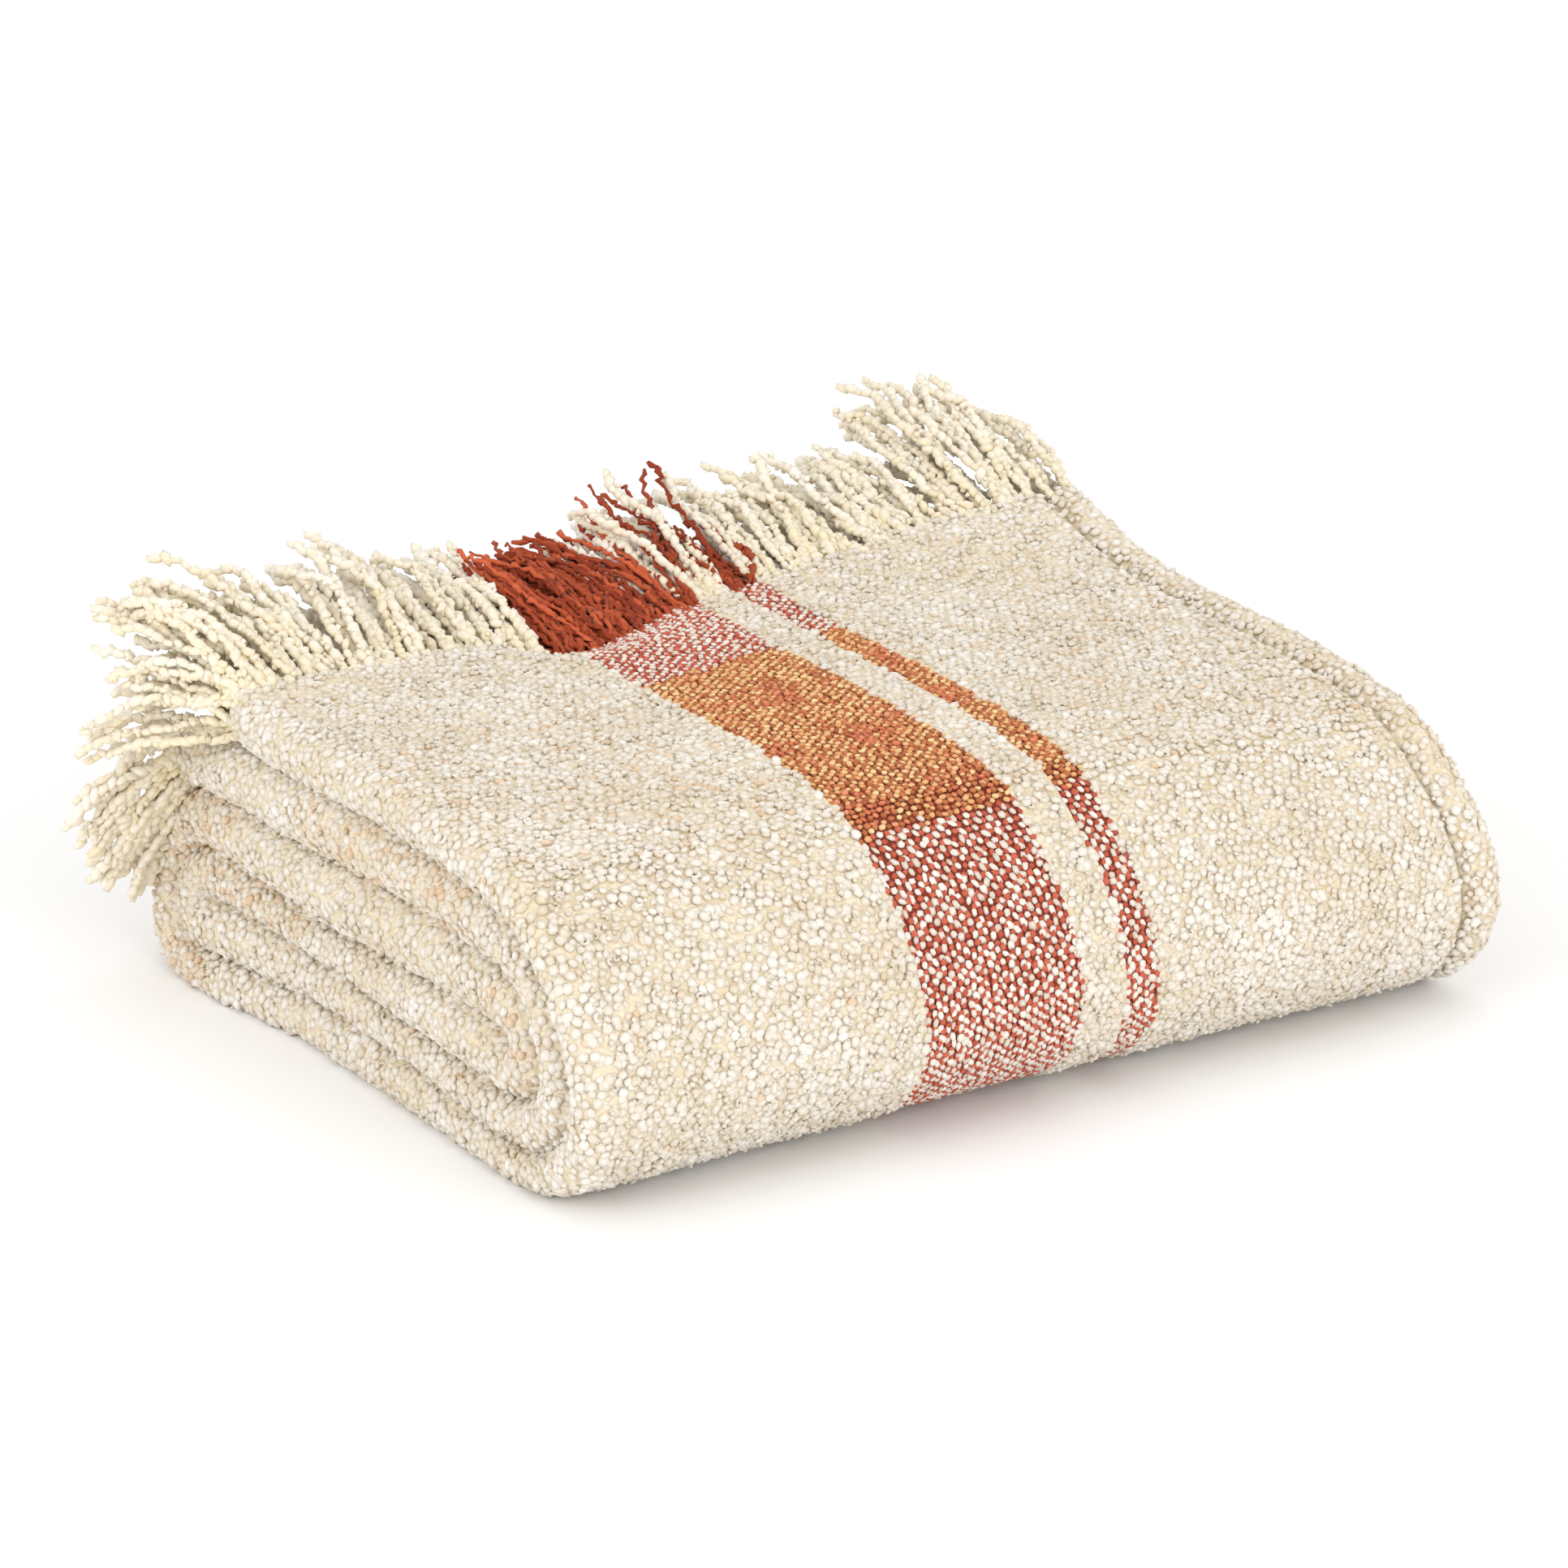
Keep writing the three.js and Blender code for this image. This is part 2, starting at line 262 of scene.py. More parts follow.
# %% The line across the width
def section_line():
    """Closely spaced points of the cloth's middle line across its width: x and height."""
    turns = np.linspace(math.pi / 2, 3 * math.pi / 2, 33)
    lip_turns = np.linspace(-math.pi / 2, LIP_TURN - math.pi / 2, 41)
    top_x = np.linspace(TOP_THIRD_EDGE, LEFT_FOLD_CENTRE, 600)
    dip = SELVEDGE_DIP * smooth((top_x - TOP_THIRD_EDGE + SELVEDGE_WIDTH) / SELVEDGE_WIDTH)
    parts = [
        (top_x, LAYER_PITCH - dip),
        (LEFT_FOLD_CENTRE + LEFT_FOLD_RADIUS * np.cos(turns), LEFT_FOLD_RADIUS * np.sin(turns)),
        (np.linspace(LEFT_FOLD_CENTRE, LIP_CENTRE, 300), np.full(300, -LAYER_PITCH)),
        (LIP_CENTRE + LIP_RADIUS * np.cos(lip_turns), LIP_MIDDLE + LIP_RADIUS * np.sin(lip_turns)),
        (np.linspace(LIP_REJOINS, INNER_THIRD_EDGE, 300), np.zeros(300)),
    ]
    stretches = [np.stack(part, -1) for part in parts]
    return np.concatenate([stretches[0]] + [points[1:] for points in stretches[1:]])


line_points = section_line()
line_at = distances(line_points)
line_along = unit(np.gradient(line_points, line_at, axis=0))
CLOTH_WIDTH = line_at[-1]
U_LEFT_FOLD = TOP_THIRD_EDGE - LEFT_FOLD_CENTRE
U_LEFT_FOLD_END = U_LEFT_FOLD + math.pi * LEFT_FOLD_RADIUS
U_LIP = U_LEFT_FOLD_END + LIP_CENTRE - LEFT_FOLD_CENTRE
U_LIP_END = U_LIP + LIP_TURN * LIP_RADIUS
print("cloth is", round(CLOTH_WIDTH), "mm wide when flat")


def across(u):
    """x, height and outward direction of the line at a distance along it."""
    x = np.interp(u, line_at, line_points[:, 0])
    n = np.interp(u, line_at, line_points[:, 1])
    out_x = np.interp(u, line_at, line_along[:, 1])
    out_n = -np.interp(u, line_at, line_along[:, 0])
    size = np.hypot(out_x, out_n)
    return x, n, out_x / size, out_n / size


# %% The path through the six plies
def ply_path():
    """Closely spaced stations of the path: y, z, outward y and z, and each turn's distance."""
    stations = []
    marks = {}
    distance = 0.0

    def leg(name, y_from, y_to, ply, out):
        nonlocal distance
        marks[name] = distance
        for share in np.linspace(0, 1, 30, endpoint=False):
            y = mix(y_from, y_to, share)
            stations.append((distance + abs(y - y_from), y, ply_middle(ply), 0.0, out))
        distance += abs(y_to - y_from)

    def turn(name, centre, from_ply, to_ply, side, outward):
        nonlocal distance
        marks[name] = distance
        middle = (ply_middle(from_ply) + ply_middle(to_ply)) / 2
        radius = abs(ply_middle(from_ply) - ply_middle(to_ply)) / 2
        start = math.pi / 2 if from_ply > to_ply else -math.pi / 2
        for share in np.linspace(0, 1, 40, endpoint=False):
            angle = start * (1 - 2 * share)
            y = math.cos(angle) * side
            z = math.sin(angle)
            stations.append((distance + math.pi * radius * share, centre + radius * y,
                             middle + radius * z, y * outward, z * outward))
        distance += math.pi * radius

    leg("top_end", TOP_END_FROM + TOP_END_LENGTH, TOP_END_FROM, 5, 1)
    leg("ply_one", TOP_END_FROM, FRONT_CENTRE, 5, 1)
    turn("front", FRONT_CENTRE, 5, 0, -1, 1)
    leg("ply_six", FRONT_CENTRE, BACK_CENTRE, 0, -1)
    turn("back", BACK_CENTRE, 0, 3, 1, 1)
    leg("ply_three", BACK_CENTRE, FRONT_CENTRE, 3, 1)
    turn("inner_front", FRONT_CENTRE, 3, 2, -1, 1)
    leg("ply_four", FRONT_CENTRE, BACK_CENTRE, 2, -1)
    turn("inner_back", BACK_CENTRE, 2, 1, 1, -1)
    leg("ply_five", BACK_CENTRE, FRONT_CENTRE, 1, 1)
    turn("middle_front", FRONT_CENTRE, 1, 4, -1, -1)
    leg("ply_two", FRONT_CENTRE, BACK_CENTRE, 4, -1)
    leg("under_end", BACK_CENTRE, BACK_CENTRE + UNDER_END_LENGTH, 4, -1)
    stations.append((distance, BACK_CENTRE + UNDER_END_LENGTH, ply_middle(4), 0.0, -1))
    marks["end"] = distance
    return np.array(stations), marks


stations, MARK = ply_path()
CLOTH_LENGTH = MARK["end"]
print("cloth is", round(CLOTH_LENGTH), "mm long when flat, without its fringe")


def cloth_point(u, s, lift):
    """Where a spot of the cloth lies: u across, s along, lift out from its middle. In metres."""
    u, s, lift = np.broadcast_arrays(np.asarray(u, float), np.asarray(s, float), lift)
    x, n, out_x, out_n = across(u)
    x = x + out_x * lift
    n = n + out_n * lift
    y0, z0, out_y, out_z = (np.interp(s, stations[:, 0], stations[:, i]) for i in (1, 2, 3, 4))
    y = y0 + n * out_y
    z = z0 + n * out_z
    top_share = np.clip(1 - s / MARK["ply_one"], 0, 1)
    y = np.where(s < MARK["ply_one"], mix(TOP_END_FROM, curve(TOP_END, "x", "y", x), top_share), y)
    z = z + curve(TOP_END, "x", "lift", x) * smooth(top_share)
    under_share = np.clip((s - MARK["under_end"]) / (MARK["end"] - MARK["under_end"]), 0, 1)
    y = np.where(s > MARK["under_end"],
                 mix(BACK_CENTRE, curve(UNDER_END, "x", "y", x), under_share), y)
    return settle(x, y, z) * MM


# %% [markdown]
# ## Meshes from arrays
# Thousands of loops are made from a few modelled ones. Arrays turn, stretch and move their
# points, and all the copies become one mesh. That is far quicker than copying objects, and
# the mesh can carry a tone or a colour on every point.

# %% Helpers that turn arrays into meshes
def new_mesh(name, points, faces, attributes=(), uv=None):
    """Makes an object from points and an array of faces, all triangles or all quads."""
    mesh = bpy.data.meshes.new(name)
    mesh.vertices.add(len(points))
    mesh.vertices.foreach_set("co", np.asarray(points, np.float32).ravel())
    sides = faces.shape[1]
    mesh.loops.add(faces.size)
    mesh.loops.foreach_set("vertex_index", faces.astype(np.int32).ravel())
    mesh.polygons.add(len(faces))
    mesh.polygons.foreach_set("loop_start", np.arange(0, faces.size, sides, dtype=np.int32))
    mesh.update(calc_edges=True)
    mesh.polygons.foreach_set("use_smooth", np.ones(len(faces), bool))
    for label, values in attributes:
        kind = "FLOAT" if values.ndim == 1 else "FLOAT_COLOR"
        layer = mesh.attributes.new(label, kind, "POINT")
        channel = "value" if kind == "FLOAT" else "color"
        layer.data.foreach_set(channel, values.astype(np.float32).ravel())
    if uv is not None:
        layer = mesh.uv_layers.new(name="cloth_uv")
        layer.data.foreach_set("uv", uv[faces.ravel()].astype(np.float32).ravel())
    mesh.validate()
    piece = bpy.data.objects.new(name, mesh)
    bpy.context.scene.collection.objects.link(piece)
    return piece


def finish_piece(piece, material):
    """Gives a piece its finish, ties it to the blanket's one body and says how big it is."""
    piece.data.materials.append(material)
    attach(piece, "root")
    piece.data.calc_loop_triangles()
    print(piece.name, len(piece.data.loop_triangles), "triangles")
    return piece


def shape_of(piece):
    """Takes the points and triangles of a modelled shape, and removes the shape."""
    piece.data.calc_loop_triangles()
    points = np.array([v.co for v in piece.data.vertices])
    triangles = np.array([t.vertices for t in piece.data.loop_triangles])
    bpy.data.objects.remove(piece)
    return points, triangles


# %% [markdown]
# ## Finishes
# Three kinds of yarn show. The loops and the fringe are a soft cream yarn with painted shade:
# tan low on each loop and deep in the fringe, lighter on high tufts and tips. The ground between
# the loops is the same yarn, painted darker at the edges of soft cells as shade, and the stripes
# are harder twisted yarns in red, ochre and white. All of them are spun, so one node group gives
# each its fine fibres: a little light and dark, and a fine bump.

# %% A node group for spun yarn
def set_inputs(tree, where, inputs):
    """Gives inputs of a node their values, or links them to another node's output."""
    for key, value in inputs.items():
        if isinstance(value, bpy.types.NodeSocket):
            tree.links.new(value, where.inputs[key])
        else:
            where.inputs[key].default_value = value


def node(tree, kind, inputs=None, **settings):
    """Adds a node with its settings and its inputs."""
    made = tree.nodes.new(kind)
    for key, value in settings.items():
        setattr(made, key, value)
    set_inputs(tree, made, inputs or {})
    return made


def spun_yarn_group():
    """Fibres: a colour made a little lighter and darker, and a height for a bump."""
    tree = bpy.data.node_groups.new("spun_yarn", "ShaderNodeTree")
    face = tree.interface
    face.new_socket("Colour", in_out="INPUT", socket_type="NodeSocketColor")
    face.new_socket("Fibres per metre", in_out="INPUT", socket_type="NodeSocketFloat")
    face.new_socket("Contrast", in_out="INPUT", socket_type="NodeSocketFloat")
    face.new_socket("Colour", in_out="OUTPUT", socket_type="NodeSocketColor")
    face.new_socket("Height", in_out="OUTPUT", socket_type="NodeSocketFloat")
    start = node(tree, "NodeGroupInput")
    place = node(tree, "ShaderNodeTexCoord")
    fibres = node(tree, "ShaderNodeTexNoise", {
        "Vector": place.outputs["Object"], "Scale": start.outputs["Fibres per metre"],
        "Detail": 3, "Roughness": 0.65,
    }, noise_dimensions="3D")
    spread = node(tree, "ShaderNodeMath", {0: fibres.outputs["Fac"], 1: 0.5}, operation="SUBTRACT")
    amount = node(tree, "ShaderNodeMath", {
        0: spread.outputs[0], 1: start.outputs["Contrast"], 2: 1.0,
    }, operation="MULTIPLY_ADD")
    shade = node(tree, "ShaderNodeVectorMath", {
        0: start.outputs["Colour"], "Scale": amount.outputs[0],
    }, operation="SCALE")
    node(tree, "NodeGroupOutput", {"Colour": shade.outputs[0], "Height": fibres.outputs["Fac"]})
    return tree


spun_yarn = spun_yarn_group()


def srgb(red, green, blue):
    """A colour as read off a screen, 0 to 255, as the linear values that shaders use."""
    values = np.array([red, green, blue]) / 255
    linear = np.where(values <= 0.04045, values / 12.92, ((values + 0.055) / 1.055) ** 2.4)
    return (*linear, 1.0)


def colour_ramp(tree, factor, stops):
    """Runs through colours by a factor. The stops are positions with their screen colours."""
    ramp = node(tree, "ShaderNodeValToRGB", {"Fac": factor})
    while len(ramp.color_ramp.elements) < len(stops):
        ramp.color_ramp.elements.new(0.5)
    for element, (position, colour) in zip(ramp.color_ramp.elements, stops.items()):
        element.position = position
        element.color = srgb(*colour)
    return ramp.outputs["Color"]


def yarn_material(name, fibres, contrast, bump_mm, sheen):
    """A matte yarn with its fibres. Returns the material, its tree, the group and the bump."""
    material = bpy.data.materials.new(name)
    material.use_nodes = True
    tree = material.node_tree
    group = node(tree, "ShaderNodeGroup", {"Fibres per metre": fibres, "Contrast": contrast},
                 node_tree=spun_yarn)
    bump = node(tree, "ShaderNodeBump", {
        "Distance": bump_mm * MM, "Strength": 0.8, "Height": group.outputs["Height"],
    })
    set_inputs(tree, tree.nodes["Principled BSDF"], {
        "Base Color": group.outputs["Colour"], "Normal": bump.outputs["Normal"],
        "Roughness": 0.92, "Specular IOR Level": 0.2, "Sheen Weight": sheen, "Sheen Roughness": 0.6,
    })
    return material, tree, group, bump


# %% Finishes of the loops, the fringe and the stripes
PEACH = srgb(246, 208, 166)
SOFT_SHEEN = 0.12
HARD_SHEEN = 0.05


def toned_material(name, stops, fibres, contrast, bump_mm):
    """A yarn whose colour runs through stops by the tone and painted shade stored on each point."""
    material, tree, group, _ = yarn_material(name, fibres, contrast, bump_mm, SOFT_SHEEN)
    tone_and_shade = node(tree, "ShaderNodeAttribute", attribute_name="tone_and_shade")
    warm = node(tree, "ShaderNodeAttribute", attribute_name="warm")
    blush = node(tree, "ShaderNodeMix", {
        "Factor": warm.outputs["Fac"], 6: colour_ramp(tree, tone_and_shade.outputs["Fac"], stops), 7: PEACH,
    }, data_type="RGBA", blend_type="MULTIPLY")
    set_inputs(tree, group, {"Colour": blush.outputs[2]})
    return material


# The loops' ramp carries painted shade: its tan low end is painted shade at the feet of the loops
# and in low tufts, and its light high end is painted light on their tops.
loop_finish = toned_material("looped_yarn", {
    0.0: (199, 174, 131), 0.3: (214, 198, 170), 0.65: (225, 216, 202), 1.0: (239, 234, 226),
}, 750, 0.45, 0.5)
# The fringe's ramp carries painted shade and light: its yellow low end is painted shade at the roots
# and deep in the fringe, and its light high end is painted light at the tips and on the layers
# below.
fringe_finish = toned_material("fringe_yarn", {
    0.0: (236, 220, 172), 0.3: (236, 222, 184), 0.65: (234, 223, 200), 1.0: (242, 235, 222),
}, 600, 0.35, 0.35)


def coloured_material(name):
    """A yarn whose colour is stored on each point."""
    material, tree, group, _ = yarn_material(name, 1400, 0.7, 0.2, HARD_SHEEN)
    colour = node(tree, "ShaderNodeAttribute", attribute_name="yarn_colour")
    set_inputs(tree, group, {"Colour": colour.outputs["Color"]})
    return material


stripe_finish = coloured_material("striped_yarn")
red_finish = coloured_material("red_fringe_yarn")

# %% [markdown]
# ## The stripes' places
# Two stripes run the whole length of the cloth, a wide one and a narrow one, where the thick
# cream yarn is left out of the warp. Along their length the cross yarns change: first white
# with specks of red, next to the fringe, then a band of ochre, then white dots on red.

# %% Where the stripes and their bands lie
STRIPES = {"wide": (-65.0, 8.7), "narrow": (29.5, 45.0)}
SPECKLED_TO = {"x": (-64, 8, 44), "y": (35, 50, 58)}
OCHRE_TO = {"x": (-64, 8, 44), "y": (-126, -124, -122)}


def in_stripe(x, edge):
    """1 inside a stripe, 0 outside. The edge in millimetres widens it."""
    inside = np.zeros_like(x)
    for low, high in STRIPES.values():
        inside = np.maximum(inside, ((x > low - edge) & (x < high + edge)).astype(float))
    return inside


def band_distance(x, table):
    """How far along the cloth a band's edge lies."""
    return MARK["ply_one"] + TOP_END_FROM - np.interp(x, table["x"], table["y"])


# %% [markdown]
# ## The cloth
# One closed sheet, a few millimetres thick, follows the fold. It is a grid of points across
# and along, once for its outer face and once for its inner face, joined at the rim. The grid
# is close where the cloth turns and wide where it lies flat and hidden. Outside the stripes
# the outer face is a little higher, because the feet of the loops fill the hollows like a
# fleece. Its finish is soft cells of cream, painted darker at their edges as shade between
# small loops, and dark red under the stripes.

# %% Make the cloth
def spaced(stops):
    """Joins stretches, each given as where it ends and how many steps it takes."""
    values = [np.array([stops[0][0]])]
    for (start, _), (end, count) in zip(stops[:-1], stops[1:]):
        values.append(np.linspace(start, end, count + 1)[1:])
    return np.concatenate(values)


# Steps of the grid along the cloth, up to each mark.
STEPS_TO = {"ply_one": 6, "front": 16, "ply_six": 18, "back": 12, "ply_three": 11,
            "inner_front": 12, "ply_four": 6, "inner_back": 12, "ply_five": 6,
            "middle_front": 12, "ply_two": 10, "under_end": 12, "end": 3}
EDGE_STEP = 0.6
# Stretches across the cloth that show, where its face is raised.
SHOWING = ((3, U_LEFT_FOLD_END + 6), (U_LIP - 12, U_LIP_END - 3))

grid_u = spaced([(0, 0), (14, 4), (U_LEFT_FOLD, 34), (U_LEFT_FOLD_END, 8), (U_LIP - 20, 14),
                 (U_LIP, 3), (U_LIP_END, 12), (U_LIP_END + 10, 3), (CLOTH_WIDTH, 10)])
stripe_edges = np.array([TOP_THIRD_EDGE - edge for pair in STRIPES.values() for edge in pair])
grid_u = np.unique(np.concatenate([grid_u, stripe_edges - EDGE_STEP, stripe_edges + EDGE_STEP]))
grid_s = spaced([(0, 0)] + [(MARK[name], steps) for name, steps in STEPS_TO.items()])


def sheet_faces(rows, columns):
    """Quads of two grids of points, one for each face of the sheet, and of the rim."""
    index = np.arange(rows * columns).reshape(rows, columns)
    outer = np.stack([index[:-1, :-1], index[:-1, 1:], index[1:, 1:], index[1:, :-1]], -1)
    shift = rows * columns
    inner = outer[..., ::-1] + shift
    around = np.concatenate([index[0, :-1], index[:-1, -1], index[-1, :0:-1], index[:0:-1, 0]])
    after = np.roll(around, -1)
    rim = np.stack([around, around + shift, after + shift, after], -1)
    return np.concatenate([outer.reshape(-1, 4), inner.reshape(-1, 4), rim])


uu, ss = np.meshgrid(grid_u, grid_s)
shows = sum((uu > low) & (uu < high) for low, high in SHOWING)
fleece = FLEECE * shows * (1 - in_stripe(across(uu)[0], 0.0) * (uu < U_LEFT_FOLD))
outer_face = cloth_point(uu, ss, THICKNESS / 2 + fleece).reshape(-1, 3)
inner_face = cloth_point(uu, ss, -THICKNESS / 2).reshape(-1, 3)
sheet_points = np.concatenate([outer_face, inner_face])
sheet_points[:, 2] = np.maximum(sheet_points[:, 2], 0.1 * MM)
sheet_uv = np.tile(np.stack([uu.ravel(), ss.ravel()], -1) * MM, (2, 1))
cloth = new_mesh("cloth_sheet", sheet_points, sheet_faces(len(grid_s), len(grid_u)), uv=sheet_uv)


def stripe_mask(tree):
    """1 on the stripes and 0 elsewhere, from the cloth's own coordinates."""
    uv = node(tree, "ShaderNodeUVMap", uv_map="cloth_uv")
    split = node(tree, "ShaderNodeSeparateXYZ", {0: uv.outputs["UV"]})
    wide, narrow = (node(tree, "ShaderNodeMath", {
        0: split.outputs["X"], 1: (TOP_THIRD_EDGE - (low + high) / 2) * MM, 2: (high - low) / 2 * MM,
    }, operation="COMPARE") for low, high in STRIPES.values())
    both = node(tree, "ShaderNodeMath", {0: wide.outputs[0], 1: narrow.outputs[0]},
                operation="MAXIMUM")
    return both.outputs[0]


def ground_material():
    """The ground weave: soft cream cells between the loops, painted darker at their edges as shade,
    and dark red in the stripes.
    """
    material, tree, group, bump = yarn_material("ground_weave", 900, 0.4, 0.3, HARD_SHEEN)
    place = node(tree, "ShaderNodeTexCoord")
    cells = node(tree, "ShaderNodeTexVoronoi", {"Vector": place.outputs["Object"], "Scale": 400},
                 voronoi_dimensions="3D", feature="SMOOTH_F1")
    height = cells.outputs["Distance"]
    # Painted shade: each soft cell is painted darker towards its edge, like a hollow between small
    # loops. Under the stripes the ground is its own dark red.
    shaded_cells_and_red = node(tree, "ShaderNodeMix", {
        "Factor": stripe_mask(tree),
        6: colour_ramp(tree, height, {0.2: (234, 223, 202), 0.75: (215, 198, 164)}),
        7: srgb(132, 56, 36),
    }, data_type="RGBA")
    rounded = node(tree, "ShaderNodeBump", {
        "Distance": 1.4 * MM, "Strength": 0.9, "Height": height,
    }, invert=True)
    set_inputs(tree, group, {"Colour": shaded_cells_and_red.outputs[2]})
    set_inputs(tree, bump, {"Normal": rounded.outputs["Normal"]})
    return material


finish_piece(cloth, ground_material())
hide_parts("cloth")

# %% [markdown]
# ## Loops of yarn
# Looped yarn makes small curls that stand a few millimetres off the ground. Up close each
# is a lump or a short bent piece of yarn, turned any way. Two lumps, one curl and one tiny
# grain are modelled, and they are scattered over every side that shows, on a jittered grid
# so that they lie close without lining up. The lumps are wide and overlap, which makes a
# soft surface with shallow hollows, and the grains on them are its fuzz.

# %% Model the lumps and the curl
rng = np.random.default_rng(7)


def dented(name, stretch, dent, seed):
    """Stretches and dents the shape that was just added, and takes its points and triangles."""
    shape = bpy.context.object
    shape.name = name
    bpy.ops.object.mode_set(mode="EDIT")
    bpy.ops.mesh.select_all(action="SELECT")
    bpy.ops.transform.resize(value=stretch)
    bpy.ops.transform.vertex_random(offset=dent, uniform=0.2, normal=0.0, seed=seed)
    bpy.ops.object.mode_set(mode="OBJECT")
    return shape_of(shape)


def model_lump(name, stretch, dent):
    """A small uneven ball."""
    bpy.ops.mesh.primitive_ico_sphere_add(subdivisions=1, radius=1)
    return dented(name, stretch, dent, 3)


def model_grain(name):
    """The smallest shape, sixteen triangles, for what is tiny or half hidden."""
    bpy.ops.mesh.primitive_uv_sphere_add(segments=4, ring_count=3, radius=1)
    return dented(name, (1, 1, 1), 0.12, 5)


def model_curl(name, sides, steps, bend, thickness):
    """A short bent piece of yarn: a small face spun part of the way round."""
    bpy.ops.mesh.primitive_circle_add(vertices=sides, radius=thickness, fill_type="NGON",
                                      rotation=(math.pi / 2, 0, 0), location=(1, 0, 0))
    curl = bpy.context.object
    curl.name = name
    bpy.ops.object.transform_apply(location=True, rotation=True, scale=True)
    bpy.ops.object.mode_set(mode="EDIT")
    bpy.ops.mesh.select_all(action="SELECT")
    bpy.ops.mesh.spin(steps=steps, angle=bend, center=(0, 0, 0), axis=(0, 0, 1))
    bpy.ops.mesh.select_all(action="SELECT")
    bpy.ops.mesh.normals_make_consistent(inside=False)
    bpy.ops.object.mode_set(mode="OBJECT")
    points, triangles = shape_of(curl)
    return points - points.mean(0), triangles


LUMPS = [model_lump("lump_round", (1.0, 0.9, 0.85), 0.12),
         model_lump("lump_long", (1.35, 0.8, 0.8), 0.15)]
CURL = model_curl("curl", 4, 3, math.radians(200), 0.6)
GRAIN = model_grain("grain")
print("faces: lumps", [len(t) for _, t in LUMPS], "curl", len(CURL[1]), "grain", len(GRAIN[1]))


# %% Scatter a shape over the cloth
ROW_SHARE = 0.87
JITTER = 0.3


def jittered(u_range, s_range, pitch_u, pitch_s):
    """Spots on a staggered grid, each moved a little by chance."""
    rows = np.arange(*s_range, pitch_s * ROW_SHARE)
    columns = np.arange(*u_range, pitch_u)
    u, s = np.meshgrid(columns, rows)
    u = u + (np.arange(len(rows)) % 2)[:, None] * pitch_u / 2
    u = u + rng.uniform(-JITTER, JITTER, u.shape) * pitch_u
    s = s + rng.uniform(-JITTER, JITTER, s.shape) * pitch_s
    return u.ravel(), s.ravel()


def frames_at(u, s, lift):
    """The place of each spot with its directions across, along and out of the cloth."""
    here = cloth_point(u, s, lift)
    out = unit(cloth_point(u, s, lift + np.sign(lift) * 0.5) - here)
    side = cloth_point(u + 0.5, s, lift) - cloth_point(u - 0.5, s, lift)
    side = unit(side - out * (side * out).sum(1, keepdims=True))
    return here, side, np.cross(out, side), out


def place_copies(shape, places, axes, sizes):
    """Copies a shape to each place, turned onto its axes and sized in millimetres."""
    points, triangles = shape
    local = points[None] * sizes[:, None, :] * MM
    placed = places[:, None] + np.einsum("nvk,knd->nvd", local, axes)
    shift = np.arange(len(places))[:, None, None] * len(points)
    faces = (triangles[None] + shift).reshape(-1, 3)
    return placed.reshape(-1, 3), faces, local[..., 2] / MM


def turned(side, along, out, spin, tip):
    """Turns sets of three axes by an angle about the outward one, then tips them over."""
    cos, sin = np.cos(spin)[:, None], np.sin(spin)[:, None]
    first = side * cos + along * sin
    second = along * cos - side * sin
    cos, sin = np.cos(tip)[:, None], np.sin(tip)[:, None]
    return np.array([first * cos + out * sin, second, out * cos - first * sin])


# Where peach cross yarn shows between the cream loops: from, to and the share of the loops.
PEACH_BANDS = [
    (MARK["ply_one"] + 35, MARK["ply_one"] + 205, 0.07),
    (MARK["ply_six"] + 130, MARK["ply_six"] + 175, 0.15),
    (MARK["back"] - 20, MARK["ply_three"] + 30, 0.4),
    (MARK["inner_front"] - 15, MARK["inner_front"] + 35, 0.4),
    (MARK["ply_four"] + 150, MARK["inner_back"] + 10, 0.4),
    (MARK["ply_two"] + 30, MARK["ply_two"] + 170, 0.28),
]
PEACH_ANYWHERE = 0.004
PEACH_FADE = 15.0
PEACH_ON_LIP = 0.3
PEACH_DEPTH = (0.1, 0.6)


def peach_share(u, s):
    """What share of the loops is peach at a spot. Fewer are on the rolled lip."""
    share = np.full(len(s), PEACH_ANYWHERE)
    for start, end, amount in PEACH_BANDS:
        inside = smooth((s - start) / PEACH_FADE) * smooth((end - s) / PEACH_FADE)
        share = np.maximum(share, amount * inside)
    return share * np.where(u > U_LIP - 20, PEACH_ON_LIP, 1.0)


# Each kind of loop: its shape, its size in mm, how high it stands and how far that varies.
LUMP_KINDS = [(LUMPS[0], (2.8, 2.5, 1.7), 0.8, 0.45), (LUMPS[1], (2.1, 2.7, 1.7), 0.8, 0.45)]
TOP_KINDS = [(CURL, (1.5, 1.5, 1.4), 1.6, 0.3), (GRAIN, (1.5, 1.2, 1.1), 1.9, 0.4)]
KIND_SHARES = (0.35, 0.65)
# By chance: how far a loop tips over in radians, its size, its height and its tone.
TIP_CHANCE = 0.26
SIZE_RANGE = (0.72, 1.2)
LIFT_CHANCE = 0.45
TONE_CHANCE = 0.08
# The tone of a loop halfway up, and how much lighter high tufts and each millimetre up are painted:
# painted shade on low tufts and on the feet of the loops.
TONE_MIDDLE = 0.52
PAINTED_SHADE_OF_TUFTS = 0.12
PAINTED_SHADE_PER_MM = 0.16
FUZZ_SHIFT = (1.2, 2.4)


def tufting(u, s):
    """Loops lean on each other in tufts about 11 mm apart: from about -1, low, to 1, high."""
    first = np.sin(u / 1.9 + 1.7 * np.sin(s / 4.3)) * np.sin(s / 1.7 + 1.5 * np.sin(u / 5.1))
    return 0.6 * first + 0.4 * np.sin(u / 4.7 + s / 6.1 + 2 * np.sin(u / 17 - s / 13))


